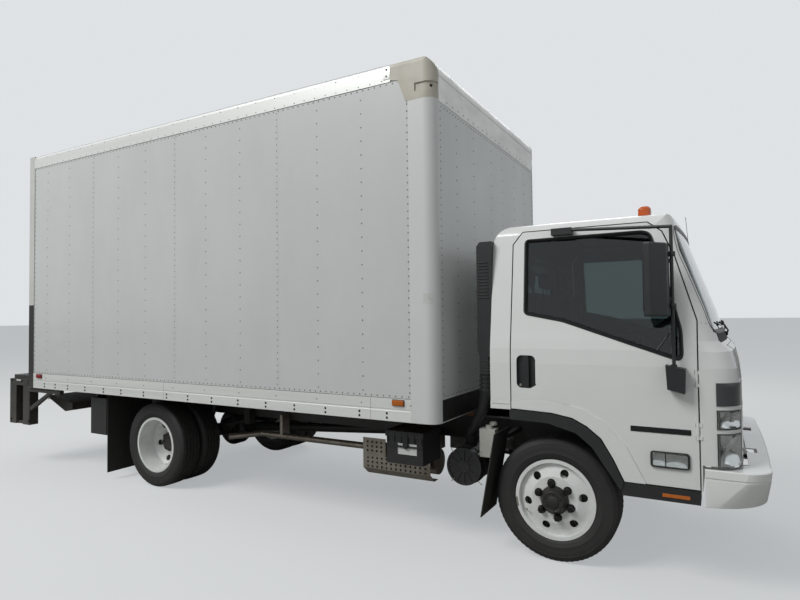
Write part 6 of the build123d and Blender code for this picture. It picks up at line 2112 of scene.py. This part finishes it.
@dataclass
class Interior:
    """The seats, gauges, levers, visors and lining that show through the glass."""

    # Each bench by name, right and left edge, and places.
    benches: tuple[tuple[str, float, float, int], ...] = (
        ("passenger", -880, 180, 2), ("driver", 290, 860, 1)
    )
    # Each dial or screen by Y, Z, half width and half height.
    dials: tuple[tuple[float, float, float, float], ...] = (
        (560, 1372, 130, 30), (60, 1280, 100, 55), (60, 1180, 100, 30)
    )
    dial_face: Profile = ((0, -0.5), (0, 2), (1, 2.4))
    bezel: Profile = ((0, -1), (1, 8), (4, 9), (9, 8), (10, -1))
    bezel_width: float = 10.0
    slat: Profile = ((0, -1), (0, 5), (1, 6))
    vents: tuple[float, ...] = (-820, -300, 300, 830)
    wheel_y: float = 560.0
    lever_y: float = 235.0
    knob: Profile = ((0, -16), (20, -14), (27, 0), (24, 18), (12, 28), (0, 29))
    boot: Profile = ((11, 0), (70, 0), (58, 18), (40, 42), (22, 80), (11, 84))
    # Each pedal's Y and half width, and the section of its pad.
    pedals: Profile = ((480, 30), (610, 42), (740, 28))
    pad: Profile = ((704, 840), (696, 836), (672, 884), (680, 888))
    mirror_section: tuple[float, float] = (-9, 12)

    def build(self) -> None:
        """Furnishes the cab."""
        for word, right, left, places in self.benches:
            width = (left - right) / places
            for i, edge in enumerate(stepped(right, width, places)):
                Seat(f"{word}_{i}", edge + 6, edge + width - 6).build()
        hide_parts("seats")
        self.add_dash()
        self.add_controls()
        self.add_lining()

    def add_dash(self) -> None:
        """Adds the gauges, the screen and the vents."""
        dash = Skin(Side.REAR, "dashboard", -300)
        faces, frames, vents = Former(), Former(), Former()
        for across, up, half, rise in self.dials:
            y0, y1, z0, z1 = across - half, across + half, up - rise, up + rise
            dash.plate(faces, oblong(y0, y1, z0, z1, 14), self.dial_face)
            rim = self.bezel_width
            outline = oblong(y0 - rim, y1 + rim, z0 - rim, z1 + rim, 18)
            dash.plate(frames, outline, self.bezel, True)
        for across in self.vents:
            for up in between(1262, 1312, 5):
                dash.plate(vents, oblong(across - 58, across + 58, up - 3, up + 3, 2), self.slat)
        faces.piece("dash_faces", "cab", GAUGE_FACE, "dash_plastic")
        frames.piece("dash_bezels", "cab", GRAINED_PLASTIC, "dash_plastic", 0.6)
        vents.piece("dash_vents", "cab", GRAINED_PLASTIC, "dash_plastic")

    def add_controls(self) -> None:
        """Adds the column's stalks, the gear lever and the pedals."""
        stalks, wheel_y = Former(), self.wheel_y
        for sign in (-1, 1):
            path = ((610, 30, 1405), (592, 110, 1432), (586, 160, 1440))
            stalks.tube([(x, wheel_y + sign * y, z) for x, y, z in path], 7, 8)
            stalks.dome((586, wheel_y + sign * 158, 1440), (0, sign, 0.1), 11, 16, 10)
        stalks.piece("column_stalks", "cab", DASH_PLASTIC, "dash_plastic")
        y = self.lever_y
        lever = Former().tube([(470, y, 1042), (450, y, 1250), (420, y, 1400)], 9, 10)
        lever.turned(self.knob, (417, y, 1412), (-0.2, 0, 1), 20)
        lever.turned(self.boot, (468, y, 1041), (-0.1, 0, 1), 24)
        lever.piece("gear_lever", "cab", DASH_PLASTIC, "dash_plastic")
        pedals = Former()
        for y, half in self.pedals:
            pedals.tube([(800, y, 1040), (760, y, 960), (700, y, 860)], 7, 8)
            pedals.loft([[(x, y + side, z) for x, z in self.pad] for side in (-half, half)])
        pedals.piece("pedals", "cab", SEAL_RUBBER, "black_plastic", 1)

    def add_lining(self) -> None:
        """Adds the headliner, sun visors, inner mirror and rear wall trim."""
        roof = faces_of("cab_shell").ray_cast(Vector((200, 0, 1700)), Vector((0, 0, 1)))[0]
        top = roof.z - 4
        grid = []
        for along in between(-310, 560, 18):
            up = top - 16 * max(0.0, (along - 380) / 180)
            row = between(-790, 790, 30)
            grid.append([Vector((along, across, up - 14 * (across / 800) ** 4)) for across in row])
        liner = Former().sheet(grid, (0, 0, -3))
        liner.piece("headliner", "cab", HEADLINER, "seat_cloth", smooth=50)
        visors = Former()
        for across in (-480, 480):
            outline = oblong(across - 230, across + 230, 0, 150, 26)
            visors.loft([
                [
                    (548 + p.y * 0.35 + thick, p.x, top - 34 - p.y * 0.62 + thick * 0.6)
                    for p in outline
                ]
                for thick in (0, 12)
            ])
        visors.piece("sun_visors", "cab", HEADLINER, "seat_cloth", 3)
        stalk = [(640, 0, top - 30), (600, 0, top - 80), (585, 0, top - 110)]
        mirror = Former().tube(stalk, 7, 8)
        outline = oblong(-120, 120, -32, 32, 26, 5)
        mirror.loft([
            [(580 + step, p.x, top - 140 + p.y) for p in outline] for step in self.mirror_section
        ])
        mirror.piece("inner_mirror", "cab", GRAINED_PLASTIC, "black_plastic", 2)
        wall = Former()
        for y0, y1, z0, z1 in (
            (-860, -600, 1500, 2040), (600, 860, 1500, 2040), (-860, 860, 1300, 1520)
        ):
            wall.block(-338, -330, y0, y1, z0, z1)
        wall.piece("rear_wall_trim", "cab", DASH_PLASTIC, "dash_plastic", 2)


@dataclass
class Studio:
    """The floor, lamps and camera, none of them part of the truck."""

    sensor: float = 36.0
    focal_px: float = 567.4
    picture_px: int = 800
    yaw: float = 119.2938
    pitch: float = 1.6637
    roll: float = -0.6271
    eye: tuple[float, float, float] = (0.9668, -4.7016, 1.6162)
    floor_half: float = 200.0
    sky_light: float = 0.34
    sky_seen: float = 0.9
    aim: tuple[float, float, float] = (0, 0, 1.2)
    # Lamps by name, watts, width and place.
    lamps: tuple[tuple, ...] = (
        ("key", 2250, 8.0, (-6.5, -12.5, 15.0)),
        ("fill", 50, 8.0, (9.0, -5.0, 5.0)),
        ("rim", 260, 6.0, (-1.0, 9.0, 8.0)),
    )

    def build(self) -> None:
        """Adds the floor, the lamps, the sky and the camera."""
        self.add_floor()
        self.add_light()
        self.add_camera()

    def add_floor(self) -> None:
        """Adds a plain pale floor under the wheels."""
        mesh = bpy.data.meshes.new("floor")
        half = self.floor_half
        corners = [(-half, -half, 0), (half, -half, 0), (half, half, 0), (-half, half, 0)]
        mesh.from_pydata(corners, [], [(0, 1, 2, 3)])
        mesh.materials.append(surface(StudioFloor()))
        floor = bpy.data.objects.new("floor", mesh)
        bpy.context.scene.collection.objects.link(floor)

    def add_light(self) -> None:
        """Adds a soft high key lamp, a fill and a rim lamp, and an even pale sky."""
        scene = bpy.context.scene
        for name, power, size, place in self.lamps:
            lamp = bpy.data.lights.new(name, "AREA")
            lamp.energy = power
            lamp.size = size
            stand = bpy.data.objects.new(name, lamp)
            stand.location = place
            way = Vector(self.aim) - Vector(place)
            stand.rotation_euler = way.to_track_quat("-Z", "Y").to_euler()
            scene.collection.objects.link(stand)
        world = bpy.data.worlds.new("studio_sky")
        world.use_nodes = True
        world.node_tree.nodes.clear()
        add = partial(add_node, world.node_tree)
        seen = add("LightPath", "Is Camera Ray")
        for ray in ("Is Transmission Ray", "Is Glossy Ray"):
            seen = add("Math", operation="MAXIMUM", i0=seen, i1=add("LightPath", ray))
        strength = add("MapRange", Value=seen, To_Min=self.sky_light, To_Max=self.sky_seen)
        sky = add("Background", Color=linear(SKY_COLOUR), Strength=strength)
        add("OutputWorld", Surface=sky)
        scene.world = world
        scene.view_settings.view_transform = "Standard"

    def add_camera(self) -> None:
        """Sets the camera where the photograph was taken from."""
        yaw, pitch, roll = (math.radians(a) for a in (self.yaw, self.pitch, self.roll))
        level = Vector((math.sin(yaw), -math.cos(yaw), 0))
        flat = Vector((math.cos(yaw), math.sin(yaw), 0))
        forward = flat * math.cos(pitch) + Vector((0, 0, math.sin(pitch)))
        above = level.cross(forward)
        right = math.cos(roll) * level + math.sin(roll) * above
        up = -math.sin(roll) * level + math.cos(roll) * above
        lens = bpy.data.cameras.new("camera")
        lens.sensor_width = self.sensor
        lens.lens = self.focal_px / self.picture_px * self.sensor
        camera = bpy.data.objects.new("camera", lens)
        turn = Matrix((right, up, -forward)).transposed().to_4x4()
        camera.matrix_world = Matrix.Translation(Vector(self.eye) + ORIGIN) @ turn
        bpy.context.scene.collection.objects.link(camera)
        bpy.context.scene.camera = camera


def finish_nodes() -> None:
    """Gives every CAD node the finish of its slot, or its own."""
    for part in frame["record"]["subparts"]:
        finish = NODE_FINISHES.get(part["node"], SLOT_FINISHES[part["material_slot"]])
        materials = frame["nodes"][part["node"]].data.materials
        materials.clear()
        materials.append(surface(finish))
        LOG.info("%s: %s", part["node"], finish.name)


def main() -> None:
    """Dresses the truck part by part, then sets the studio round it."""
    logging.basicConfig(level=logging.INFO, format="%(message)s")
    finish_nodes()
    truck = [*map(Wheels, HANDS), *map(BodySide, HANDS), BodyEnds(), MarkerLamps(), RollDoor()]
    truck += [Gate(), Chassis(), *map(Door, HANDS), Cab(), Interior()]
    for assembly in (*truck, Studio()):
        assembly.build()
        LOG.info("%s done", type(assembly).__name__)


if __name__ == "__main__":
    main()
